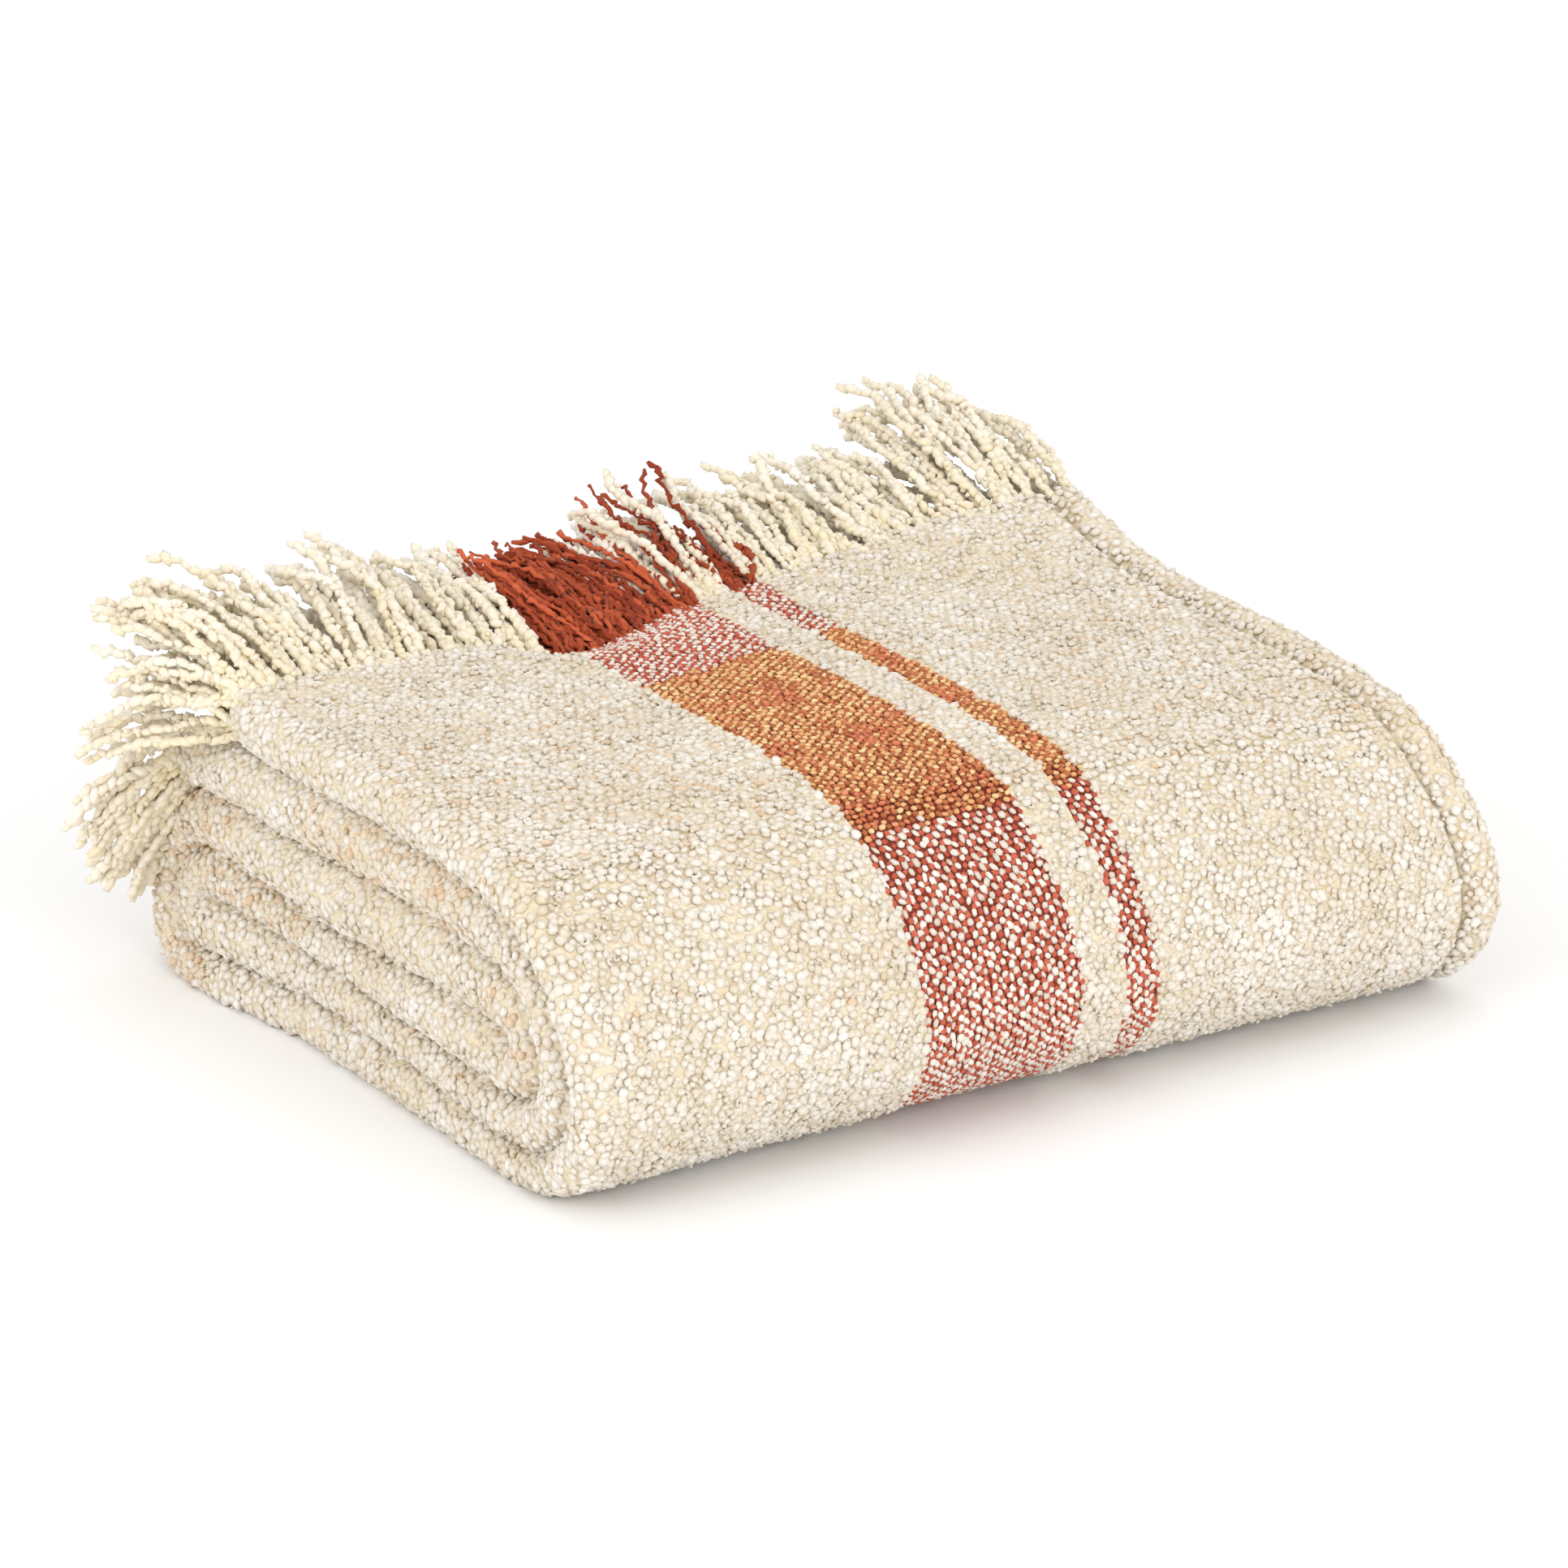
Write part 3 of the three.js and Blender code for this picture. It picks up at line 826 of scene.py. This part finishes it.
def scatter_kinds(u, s, size_mm, kinds):
    """Copies of some kinds of loop, one at each spot: points, faces, tones with painted shade, and
    warmth.
    """
    count = len(u)
    kind = rng.choice(len(kinds), count, p=KIND_SHARES)
    here, side, along, out = frames_at(u, s, np.full(count, THICKNESS / 2))
    spin = rng.uniform(0, 2 * math.pi, count)
    axes = turned(side, along, out, spin, rng.normal(0, TIP_CHANCE, count))
    grow = rng.uniform(*SIZE_RANGE, count) * size_mm
    high = tufting(u, s)
    drift = 0.05 * np.sin(u / 17 + 2 * np.sin(s / 41)) + 0.04 * np.sin(s / 13 + u / 37)
    pieces = []
    for which, (shape, scale, lift, spread) in enumerate(kinds):
        pick = kind == which
        number = pick.sum()
        sizes = grow[pick][:, None] * np.array(scale)
        raise_by = lift + spread * (high[pick] + rng.normal(0, LIFT_CHANCE, number))
        raised = here[pick] + out[pick] * (raise_by * MM)[:, None]
        points, faces, depth = place_copies(shape, raised, axes[:, pick], sizes)
        # Painted shade: the tone is darker on low tufts and low on each loop, and lighter on high
        # tufts and tops. The drift and the chance part are the yarn's own tone.
        tone_and_shade = TONE_MIDDLE + (drift + PAINTED_SHADE_OF_TUFTS * high)[pick][:, None] + PAINTED_SHADE_PER_MM * depth
        tone_and_shade = tone_and_shade + rng.normal(0, TONE_CHANCE, number)[:, None]
        peach = rng.random(number) < peach_share(u[pick], s[pick])
        warm = np.repeat(peach * rng.uniform(*PEACH_DEPTH, number), len(shape[0]))
        pieces.append((points, faces, np.clip(tone_and_shade, 0, 1).ravel(), warm))
    return pieces


def pile_part(u, s, size_mm, fuzz=0.3):
    """A lump at every spot, and a curl or a grain on top beside some of them."""
    some = rng.random(len(u)) < fuzz
    shift = rng.uniform(*FUZZ_SHIFT, (2, some.sum()))
    return (scatter_kinds(u, s, size_mm, LUMP_KINDS)
            + scatter_kinds(u[some] + shift[0], s[some] + shift[1], size_mm, TOP_KINDS))


def yarn_piece(name, parts, material, stored=("tone_and_shade", "warm"), floor_gap=0.2):
    """Joins parts into one piece. Each part has points, faces and what its points store."""
    shifts = np.cumsum([0] + [len(part[0]) for part in parts[:-1]])
    points = np.concatenate([part[0] for part in parts])
    faces = np.concatenate([part[1] + shift for part, shift in zip(parts, shifts)])
    values = [np.concatenate([part[2 + i] for part in parts]) for i in range(len(stored))]
    points[:, 2] = np.maximum(points[:, 2], floor_gap * MM)
    piece = new_mesh(name, points, faces, list(zip(stored, values)))
    return finish_piece(piece, material)


def pile_piece(name, parts):
    """One piece of cream loops."""
    return yarn_piece(name, parts, loop_finish)


# %% Loops on the top and the front
LOOP_PITCH = 4.05
U_FLAT = (3.2, U_LEFT_FOLD)
BEHIND_TOP_END = 150.0
OVER_EDGE = 1.0


def clear_of_stripes(u, s):
    """Drops the spots that lie in a stripe, with a ragged edge."""
    x = across(u)[0]
    wander = np.sin(s / 3.1 + 2 * np.sin(s / 7.7)) + rng.normal(0, 0.4, len(s))
    keep = in_stripe(x, 0.2 + wander) < 0.5
    return u[keep], s[keep]


def top_spots(pitch):
    """Spots on the top third's face from the fringe to the front edge."""
    u, y = jittered(U_FLAT, (FRONT_CENTRE, BEHIND_TOP_END), pitch, pitch)
    x = across(u)[0]
    end = curve(TOP_END, "x", "y", x)
    keep = y < end + OVER_EDGE
    u, y, end = u[keep], y[keep], end[keep]
    beyond = MARK["ply_one"] * (1 - (y - TOP_END_FROM) / (end - TOP_END_FROM))
    s = np.where(y > TOP_END_FROM, beyond, MARK["ply_one"] + TOP_END_FROM - y)
    return clear_of_stripes(u, s)


front_spots = clear_of_stripes(*jittered(U_FLAT, (MARK["front"], MARK["ply_six"] + 4),
                                         LOOP_PITCH, LOOP_PITCH * ROW_SHARE))
pile_top = pile_piece("loops_top", pile_part(*top_spots(LOOP_PITCH), 1.0))
pile_front = pile_piece("loops_front", pile_part(*front_spots, 1.0))

# %% Loops on the folded ends and the back
left_spots = jittered((U_LEFT_FOLD + 0.5, U_LEFT_FOLD_END + 6), (0, CLOTH_LENGTH),
                      LOOP_PITCH * 0.74, LOOP_PITCH * 1.08)
pile_left = pile_piece("loops_left_end", pile_part(*left_spots, 1.03, 0.1))
lip_outer = jittered((U_LIP - 5, U_LIP_END + 1.5), (0, MARK["back"]), LOOP_PITCH * 0.9, LOOP_PITCH)
lip_inner = jittered((U_LIP - 3, U_LIP_END - 6), (MARK["back"], CLOTH_LENGTH), 4.5, 5.8)
pile_right = pile_piece("loops_right_end", pile_part(*lip_outer, 0.98, 0.15)
                        + pile_part(*lip_inner, 1.25, 0.0))
back_spots = clear_of_stripes(*jittered(U_FLAT, (MARK["back"], MARK["ply_three"] + 12), 5.3, 4.9))
under_back = jittered((U_LEFT_FOLD_END, U_LIP - 14), (MARK["under_end"] - 20, CLOTH_LENGTH),
                      6.0, 5.4)
pile_back = pile_piece("loops_back", pile_part(*back_spots, 1.35, 0.1)
                       + pile_part(*under_back, 1.4, 0.0))

# %% [markdown]
# ## The flat weave of the stripes
# In the stripes the yarns are thinner and lie flat, so each crossing shows as a small oval.
# Every second crossing has the cross yarn on top, white or ochre, and the ones between have
# the red or brown lengthwise yarn on top. Each crossing is modelled and stores its colour.

# %% Make the crossings
WEAVE_ACROSS = 2.9
WEAVE_ALONG = 2.25
WEAVE_MARGIN = 0.7
# Sizes of a crossing in millimetres, across, along and out: with the cross yarn on top in the
# specks, the ochre and the dots, and with the lengthwise yarn on top.
CROSS_SIZES = ((1.65, 1.7, 1.15), (1.8, 1.6, 1.15), (1.65, 2.4, 1.15))
LENGTH_SIZE = (1.75, 2.1, 1.1)
CROSSING_RANGE = (0.76, 1.24)
CROSS_LIFT = 0.4
LENGTH_LIFT = 0.1
# How ragged, in millimetres, the two ends of the ochre band are.
RAGGED_SPECKS = 1.2
RAGGED_OCHRE = 1.0
WHITE = (srgb(236, 228, 217), srgb(212, 197, 180))
RED = (srgb(176, 76, 54), srgb(202, 104, 80))
OCHRE = (srgb(222, 168, 110), srgb(240, 212, 156))
TERRACOTTA = (srgb(206, 100, 70), srgb(222, 128, 94))
BROWN = (srgb(168, 92, 56), srgb(200, 124, 78))


def crossings(low, high, s_from, s_to):
    """Every crossing of one stripe: its place, and whether the cross yarn is on top."""
    first = TOP_THIRD_EDGE - high + WEAVE_MARGIN
    last = TOP_THIRD_EDGE - low - WEAVE_MARGIN
    columns = np.linspace(first, last, round((last - first) / WEAVE_ACROSS) + 1)
    rows = np.arange(s_from, s_to, WEAVE_ALONG)
    u, s = np.meshgrid(columns, rows)
    odd = (np.arange(len(rows))[:, None] + np.arange(len(columns))[None]) % 2
    u = u + rng.normal(0, 0.4, u.shape) + rng.normal(0, 0.4, (len(rows), 1))
    s = s + rng.normal(0, 0.3, s.shape) + 0.3 * np.sin(u / 9.0 + s / 15.0)
    return u.ravel(), s.ravel(), (odd == 0).ravel()


def blend_colours(pair, share):
    """Colours between a pair, one for each share."""
    return mix(np.array(pair[0]), np.array(pair[1]), share[:, None])


def slub(x, s, length, seed):
    """Patches along each cross yarn, as when a yarn is dyed unevenly: about -1 to 1."""
    row = np.floor(s / WEAVE_ALONG)
    phase = np.sin(row * 12.9898 + seed) * 43758.5453
    phase = (phase - np.floor(phase)) * 2 * math.pi
    return 0.6 * np.sin(x / length + phase) + 0.4 * np.sin(x / (length * 0.43) + 2 * phase)


def weave_colours(x, s, cross_on_top):
    """Each crossing's colour, by its band and which yarn is on top, and its band's number."""
    count = len(x)
    speckle_end = band_distance(x, SPECKLED_TO) + rng.normal(0, RAGGED_SPECKS, count)
    ochre_end = band_distance(x, OCHRE_TO) + rng.normal(0, RAGGED_OCHRE, count)
    band = (s > speckle_end).astype(int) + (s > ochre_end)
    in_ochre = (band == 1)[:, None]
    streak = np.sin(x / 4.7 + np.sin(s / 19.0) * 1.3) + 0.7 * np.sin(x / 11.0 - s / 37.0 + 1.0)
    streak = 0.6 * streak + 0.9 * np.sin(s / 9.0 + 1.4 * np.sin(x / 23.0) + 1.1)
    reddish = smooth((streak + 1.1 * slub(x, s, 7.0, 1.0) + rng.normal(0, 0.6, count)) / 2.2)
    share = rng.random(count)
    light = np.clip(0.45 + 0.55 * slub(x, s, 9.0, 4.0) + rng.normal(0, 0.2, count), 0, 1)
    ochre = mix(blend_colours(OCHRE, light), blend_colours(TERRACOTTA, share),
                (reddish * 0.9)[:, None])
    cross = np.where(in_ochre, ochre, blend_colours(WHITE, share ** 1.4))
    length = np.where(in_ochre, blend_colours(BROWN, share), blend_colours(RED, share))
    return np.where(cross_on_top[:, None], cross, length), band


def stripe_weave(name, stretches):
    """One mesh of crossings for a list of stretches: stripe, from and to."""
    parts = []
    for stripe, s_from, s_to in stretches:
        u, s, cross = crossings(*STRIPES[stripe], s_from, s_to)
        colour, band = weave_colours(across(u)[0], s, cross)
        sizes = np.where(cross[:, None], np.array(CROSS_SIZES)[band], LENGTH_SIZE)
        sizes = sizes * rng.uniform(*CROSSING_RANGE, sizes.shape)
        lift = THICKNESS / 2 + np.where(cross, CROSS_LIFT, LENGTH_LIFT)
        lift = lift + rng.normal(0, 0.14, len(u))
        here, side, along, out = frames_at(u, s, lift)
        lean = rng.normal(0.35, 0.35, len(u)) * np.where(cross, 1.0, -0.6)
        axes = turned(side, along, out, lean, rng.normal(0, 0.2, len(u)))
        for shape, pick in ((LUMPS[0], cross), (GRAIN, ~cross)):
            points, faces, _ = place_copies(shape, here[pick], axes[:, pick], sizes[pick])
            parts.append((points, faces, np.repeat(colour[pick], len(shape[0]), 0)))
    return yarn_piece(name, parts, stripe_finish, ("yarn_colour",))


shown = [(0.5, MARK["ply_six"] + 6), (MARK["back"], MARK["ply_three"] + 12)]
weave = stripe_weave("stripe_weave", [(stripe, *part) for stripe in STRIPES for part in shown])

# %% [markdown]
# ## The fringe
# At each end the warp yarns are left loose. Because the cloth is folded in three, three
# layers of fringe lie on each other, which makes it bushy. The cream strands are the same
# looped yarn as the cloth, so each is a chain of small lumps along a curve. Behind the
# stripes the strands are thin kinked red yarns. They part into clumps, as loose yarn does.

# %% Where the strands lie
TOP_SPREAD = {"x": (-217, -190, -150, -60, 40, 75, 142, 174, 196, 217),
              "aside": (-44, -34, -12, -4, -2, -3, -4, -5, -4, 4),
              "back": (48, 62, 72, 76, 78, 78, 80, 84, 78, 62),
              "rise": (16, 34, 30, 22, 24, 18, 13, 36, 36, 24)}
UNDER_SPREAD = {"x": (-217, -185, -140, 217),
                "aside": (-31, -38, -12, 4),
                "back": (6, 14, 46, 56),
                "rise": (-37, -44, -42, -34)}
UP = np.array([0.0, 0.0, 1.0])
FAN_FROM = -178.0
FAN_WIDTH = 36.0
FAN_TURN = {"top": (-50.0, 64.0), "under": (-40.0, 18.0)}
LAYER_DROOP = 3.0
CLUMP_WIDTH = 21.0
CLUMP_PULL = 0.15
PATH_STEPS = 48
FURTHEST_LEFT = -263.0
LOWEST = 2.0
HIGHEST = 174.0
# By chance: where in the cloth a cream strand starts, its length, and in millimetres its rise,
# its reach aside, its bow and how far its tip droops, from a share of its length on.
ROOT_LIFT = (-1.2, 2.2)
LENGTH_RANGE = (0.8, 1.12)
RISE_CHANCE = 5.0
ASIDE_CHANCE = 7.0
BOW_CHANCE = 4.0
TIP_DROOP = 9.0
DROOP_FROM = 0.6
# Between the stripes the strands lean to the left: the middle and width of that part, and how far.
BETWEEN_MIDDLE = 12.0
BETWEEN_WIDTH = 20.0
BETWEEN_LEAN = 8.0
# How cream and red strands run, in millimetres: where the root starts inside the cloth, the arch,
# how the reach aside and up grows along them, and the range and rate of their waves.
CREAM_RUN = {"inside": 3.5, "arch": 4.0, "growth": (1.4, 1.15), "wave": (1.0, 2.8), "rate": (7, 16)}
RED_RUN = {"inside": 3.0, "arch": 3.5, "growth": (1.3, 1.2), "wave": (0.8, 2.6), "rate": (6, 15)}


def fan_out(x, aside, rise, turn):
    """Turns strands near the left fold up and down by chance, so that they spread in a fan."""
    amount = smooth((FAN_FROM - x) / FAN_WIDTH)
    angle = np.radians(rng.uniform(*turn, len(x))) * amount
    cos, sin = np.cos(angle), np.sin(angle)
    return aside * cos - rise * sin, rise * cos + aside * sin


def strand_curves(root, aside, back, rise, t, run, waves, up_wave):
    """Curves from their roots, out by each reach aside, back and up. Of the chance waves, the
    first sways a strand aside and the one numbered up_wave sways it up and down."""
    shape = (len(root), waves, 1)
    phase = rng.uniform(0, 2 * math.pi, shape)
    size = rng.uniform(*run["wave"], shape)
    rate = rng.uniform(*run["rate"], shape)
    wave = size * np.sin(rate * t + phase) * t
    grow_aside, grow_up = run["growth"]
    px = root[:, 0:1] + aside[:, None] * t**grow_aside + wave[:, 0]
    py = root[:, 1:2] - run["inside"] + (back[:, None] + run["inside"]) * t
    pz = root[:, 2:3] + rise[:, None] * t**grow_up + run["arch"] * np.sin(np.pi * t)
    pz = pz + wave[:, up_wave]
    return np.stack([px, py, pz], -1)


def strand_paths(u, end):
    """Curves of the strands that start at distances u along one end. In millimetres."""
    count = len(u)
    top = end == "top"
    x, n, _, _ = across(u)
    s = np.full(count, 0.0 if top else CLOTH_LENGTH)
    root = cloth_point(u, s, rng.uniform(*ROOT_LIFT, count)) / MM
    spread = TOP_SPREAD if top else UNDER_SPREAD
    facing = n if top else -n
    lower = (LAYER_PITCH - facing) / LAYER_PITCH
    length = rng.uniform(*LENGTH_RANGE, count)
    aside, back, rise = (curve(spread, "x", way, x) * length for way in ("aside", "back", "rise"))
    rise = rise - lower * LAYER_DROOP + rng.normal(0, RISE_CHANCE, count)
    aside, rise = fan_out(x, aside, rise, FAN_TURN[end])
    clump = (np.floor(x / CLUMP_WIDTH + 0.6 * np.sin(x / 31.0)) + 0.5) * CLUMP_WIDTH
    gather = np.clip(clump - x, -CLUMP_WIDTH, CLUMP_WIDTH) * CLUMP_PULL
    aside = np.maximum(aside + gather + rng.normal(0, ASIDE_CHANCE, count), FURTHEST_LEFT - x)
    aside = aside - top * BETWEEN_LEAN * np.exp(-((x - BETWEEN_MIDDLE) / BETWEEN_WIDTH) ** 2)
    bow = rng.normal(0, BOW_CHANCE, (count, 2, 1))
    t = np.linspace(0, 1, PATH_STEPS)[None]
    paths = strand_curves(root, aside, back, rise, t, CREAM_RUN, waves=4, up_wave=2)
    late = np.clip(t - DROOP_FROM, 0, 1) / (1 - DROOP_FROM)
    droop = rng.uniform(0, TIP_DROOP, (count, 1)) * late**2
    paths[..., 0] += bow[:, 0] * np.sin(np.pi * t)
    paths[..., 2] += 0.5 * bow[:, 1] * np.sin(np.pi * t) - droop
    paths[..., 2] = np.clip(paths[..., 2], LOWEST, HIGHEST)
    return paths


def evenly(paths, spacing):
    """Points evenly along each curve: place, direction, the curve's number, share of its length."""
    found = []
    for number, path in enumerate(paths):
        at = distances(path)
        stops = np.arange(0, at[-1], spacing)
        here, ahead, behind = (
            np.stack([np.interp(stops + step, at, path[:, k]) for k in range(3)], -1)
            for step in (0, 1, -1))
        found.append((here, unit(ahead - behind), np.full(len(stops), number), stops / at[-1]))
    return [np.concatenate(values) for values in zip(*found)]


# What a cream strand is made of: near lumps, far lumps and twice some fuzz. For each its shape,
# how far off the strand's line it sits and its size along, aside and out.
STRAND_PARTS = ((LUMPS[1], 0.5, (1.4, 1.25, 1.2)), (GRAIN, 0.5, (1.9, 1.35, 1.3)),
                (GRAIN, 1.8, (0.8, 0.65, 0.65)), (GRAIN, 2.1, (0.65, 0.75, 0.65)))
STRAND_RANGE = (0.78, 1.22)
LUMP_SPACING = 4.3
NEAR_LEFT = -150.0
TOP_LAYER_FROM = 3.0
# The tone of a strand at its root and tip, painted darker and yellower at the root as shade deep in
# the fringe. Then how much lighter it is painted below, as painted light on the layers below, and
# each mm up, as painted shade under each lump.
SHADED_ROOT_TONE = 0.52
LIT_TIP_TONE = 0.68
PAINTED_LIGHT_BELOW = 0.2
STRAND_PAINTED_SHADE_PER_MM = 0.14 / 1.8


def looped_strands(u, end, size, fuzz):
    """Cream strands: chains of lumps along their curves, simpler in the layers below."""
    places, along, owner, share = evenly(strand_paths(u, end), LUMP_SPACING)
    x, n, _, _ = across(u)
    near = ((x < NEAR_LEFT) | ((end == "top") & (n > TOP_LAYER_FROM)))[owner]
    side = unit(np.cross(along, UP))
    out = np.cross(side, along)
    # Painted shade: strands are painted darker and yellower at the root than at the tip.
    strand_tone_and_shade = rng.normal(0, 0.06, len(u))[owner] + mix(SHADED_ROOT_TONE, LIT_TIP_TONE, smooth(share * 1.4))
    picks = (near, ~near, rng.random(len(places)) < fuzz, rng.random(len(places)) < fuzz)
    parts = []
    for (shape, off_line, scale), pick in zip(STRAND_PARTS, picks):
        count = pick.sum()
        angle = rng.uniform(0, 2 * math.pi, count)
        reach = np.abs(rng.normal(off_line, 0.3, count))
        at = places[pick] + side[pick] * (reach * np.cos(angle))[:, None]
        at = at + out[pick] * (reach * np.sin(angle))[:, None]
        axes = turned(along[pick], -side[pick], out[pick], rng.uniform(-0.6, 0.6, count),
                      rng.normal(0, 0.35, count))
        sizes = rng.uniform(*STRAND_RANGE, (count, 1)) * size * np.array([scale])
        points, faces, depth = place_copies(shape, at * MM, axes, sizes)
        # Painted light makes the strands of the layers below lighter, and painted shade darkens the
        # underside of each lump.
        tone_and_shade = strand_tone_and_shade[pick] + rng.normal(0, TONE_CHANCE, count) + PAINTED_LIGHT_BELOW * ~near[pick]
        tone_and_shade = np.clip(tone_and_shade[:, None] + STRAND_PAINTED_SHADE_PER_MM * depth, 0, 1)
        parts.append((points, faces, tone_and_shade.ravel(), np.zeros(len(points))))
    return parts


# %% Make the cream strands
DENSE_LEFT = -180.0
DENSE_BETWEEN = (-18.0, 28.0)
TOP_LAYER_PITCH = 0.72
LOWER_LAYERS_PITCH = 1.25


def strand_starts(end, pitch, dense_pitch):
    """Distances across the cloth. They are closer near the left fold, in the layer on top and,
    at the end that lies on top, between the stripes."""
    u = [2.0]
    while u[-1] < CLOTH_WIDTH - 3:
        x = across(u[-1])[0]
        dense = x < DENSE_LEFT or (end == "top" and DENSE_BETWEEN[0] < x < DENSE_BETWEEN[1])
        layer = TOP_LAYER_PITCH if u[-1] < U_LEFT_FOLD else LOWER_LAYERS_PITCH
        u.append(u[-1] + (dense_pitch if dense else pitch * layer))
    u = np.array(u[:-1])
    return u + rng.uniform(-0.35, 0.35, len(u)) * pitch


def behind_stripe(u):
    """True where red strands take the cream ones' place."""
    x, n, _, _ = across(u)
    low, high = STRIPES["wide"]
    on_top = n > TOP_LAYER_FROM
    below = (np.abs(n) < TOP_LAYER_FROM) & (x > low + 8) & (x < high - 30)
    beside = on_top & (x > low - 6) & (x < low)
    return (on_top & (in_stripe(x, 0.0) > 0.5)) | below | beside


top_starts = strand_starts("top", 4.2, 1.65)
top_starts = top_starts[~behind_stripe(top_starts)]
under_starts = strand_starts("under", 8.5, 1.8)
top_fringe = yarn_piece("top_fringe_strands", looped_strands(top_starts, "top", 2.15, 0.3),
                        fringe_finish, floor_gap=0.5)
under_fringe = yarn_piece("under_fringe_strands", looped_strands(under_starts, "under", 2.2, 0.2),
                          fringe_finish, floor_gap=0.5)
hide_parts("top_fringe")
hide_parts("under_fringe")

# %% Make the red strands
# How many strands, how far they reach aside at the left and right, back, and up at each side.
RED_STRANDS = {"wide": (104, -6.0, -26.0, 77.0, 26.0, 13.0),
               "narrow": (18, -12.0, -12.0, 54.0, 17.0, 17.0)}
# Stray strands that cross the cream ones: start x, reach aside, back and up.
STRAY_STRANDS = [(2.0, 0.0, 92.0, 24.0), (6.0, 2.0, 88.0, 30.0), (8.0, 10.0, 90.0, 22.0),
                 (5.0, 18.0, 86.0, 26.0), (9.0, 26.0, 82.0, 32.0), (30.0, 4.0, 76.0, 34.0)]
RED_COLOURS = (srgb(146, 56, 28), srgb(204, 98, 60))
RED_RADIUS = 1.2
THINNEST = 0.65
THICKEST = 2.0
# Red strands start at chance lifts from the cloth's middle, and the lowest rises less, in mm.
LIFT_TOP = 2.4
LIFT_LOW = -2.5
LOWER_RISE = 12.0
STRAY_LIFT = 3.0


def tube_mesh(paths, radius, sides):
    """Closed tubes along curves, in millimetres."""
    count, steps, _ = paths.shape
    along = unit(np.gradient(paths, axis=1))
    side = unit(np.cross(along, UP))
    out = np.cross(side, along)
    angle = np.linspace(0, 2 * math.pi, sides, endpoint=False)
    ring = (side[:, :, None] * np.cos(angle)[None, None, :, None]
            + out[:, :, None] * np.sin(angle)[None, None, :, None])
    points = paths[:, :, None] + ring * radius[:, :, None, None]
    tips = np.stack([paths[:, 0], paths[:, -1]], 1)
    per = steps * sides + 2
    points = np.concatenate([points.reshape(count, -1, 3), tips], 1)
    faces = []
    for i in range(steps - 1):
        for k in range(sides):
            a = i * sides + k
            b = i * sides + (k + 1) % sides
            faces += [(a, b, b + sides), (a, b + sides, a + sides)]
    last = (steps - 1) * sides
    for k in range(sides):
        after = (k + 1) % sides
        faces += [(steps * sides, after, k), (steps * sides + 1, last + k, last + after)]
    faces = np.array(faces)[None] + np.arange(count)[:, None, None] * per
    return points.reshape(-1, 3), faces.reshape(-1, 3), per


def red_paths(x, lift, aside, back, rise, steps):
    """Curves of thin red strands, wavy and kinked."""
    count = len(x)
    root = cloth_point(TOP_THIRD_EDGE - x, np.zeros(count), lift) / MM
    t = np.linspace(0, 1, steps)[None]
    paths = strand_curves(root, aside, back, rise, t, RED_RUN, waves=2, up_wave=1)
    paths[..., 0] += rng.normal(0, 5.0, (count, 1)) * np.sin(np.pi * t)
    return paths + rng.normal(0, 0.6, (count, steps, 3))


def stripe_paths(stripe, steps):
    """Red strands spread across one stripe."""
    count, aside_left, aside_right, back, rise_left, rise_right = RED_STRANDS[stripe]
    low, high = STRIPES[stripe]
    share = np.clip((np.arange(count) + rng.uniform(-3, 3, count)) / count, 0, 1)
    x = mix(low + 0.8, high - 0.8, share)
    aside = mix(aside_left, aside_right, share) + rng.normal(0, 10.0, count)
    rise = mix(rise_left, rise_right, share)
    lower = rng.uniform(0, 1, count) ** 1.5
    back = back * rng.uniform(0.82, 1.06, count)
    rise = rise - LOWER_RISE * lower + rng.normal(0, 4.0, count)
    return red_paths(x, mix(LIFT_TOP, LIFT_LOW, lower), aside, back, rise, steps)


def red_fringe(steps, sides):
    """All the red strands as one piece. Each point keeps its colour."""
    stray = np.array(STRAY_STRANDS)
    paths = [stripe_paths(name, steps) for name in RED_STRANDS]
    paths.append(red_paths(stray[:, 0], np.full(len(stray), STRAY_LIFT), *stray[:, 1:].T, steps))
    paths = np.concatenate(paths)
    t = np.linspace(0, 1, steps)[None]
    radius = RED_RADIUS + rng.normal(0, 0.38, (len(paths), steps)) - 0.3 * t**6
    points, faces, per = tube_mesh(paths, np.clip(radius, THINNEST, THICKEST), sides)
    colour = np.repeat(blend_colours(RED_COLOURS, rng.random(len(paths))), per, 0)
    colour[:, :3] *= rng.uniform(0.85, 1.1, (len(colour), 1))
    piece = new_mesh("red_strands", points * MM, faces, [("yarn_colour", colour)])
    return finish_piece(piece, red_finish)


red_strands = red_fringe(44, 4)
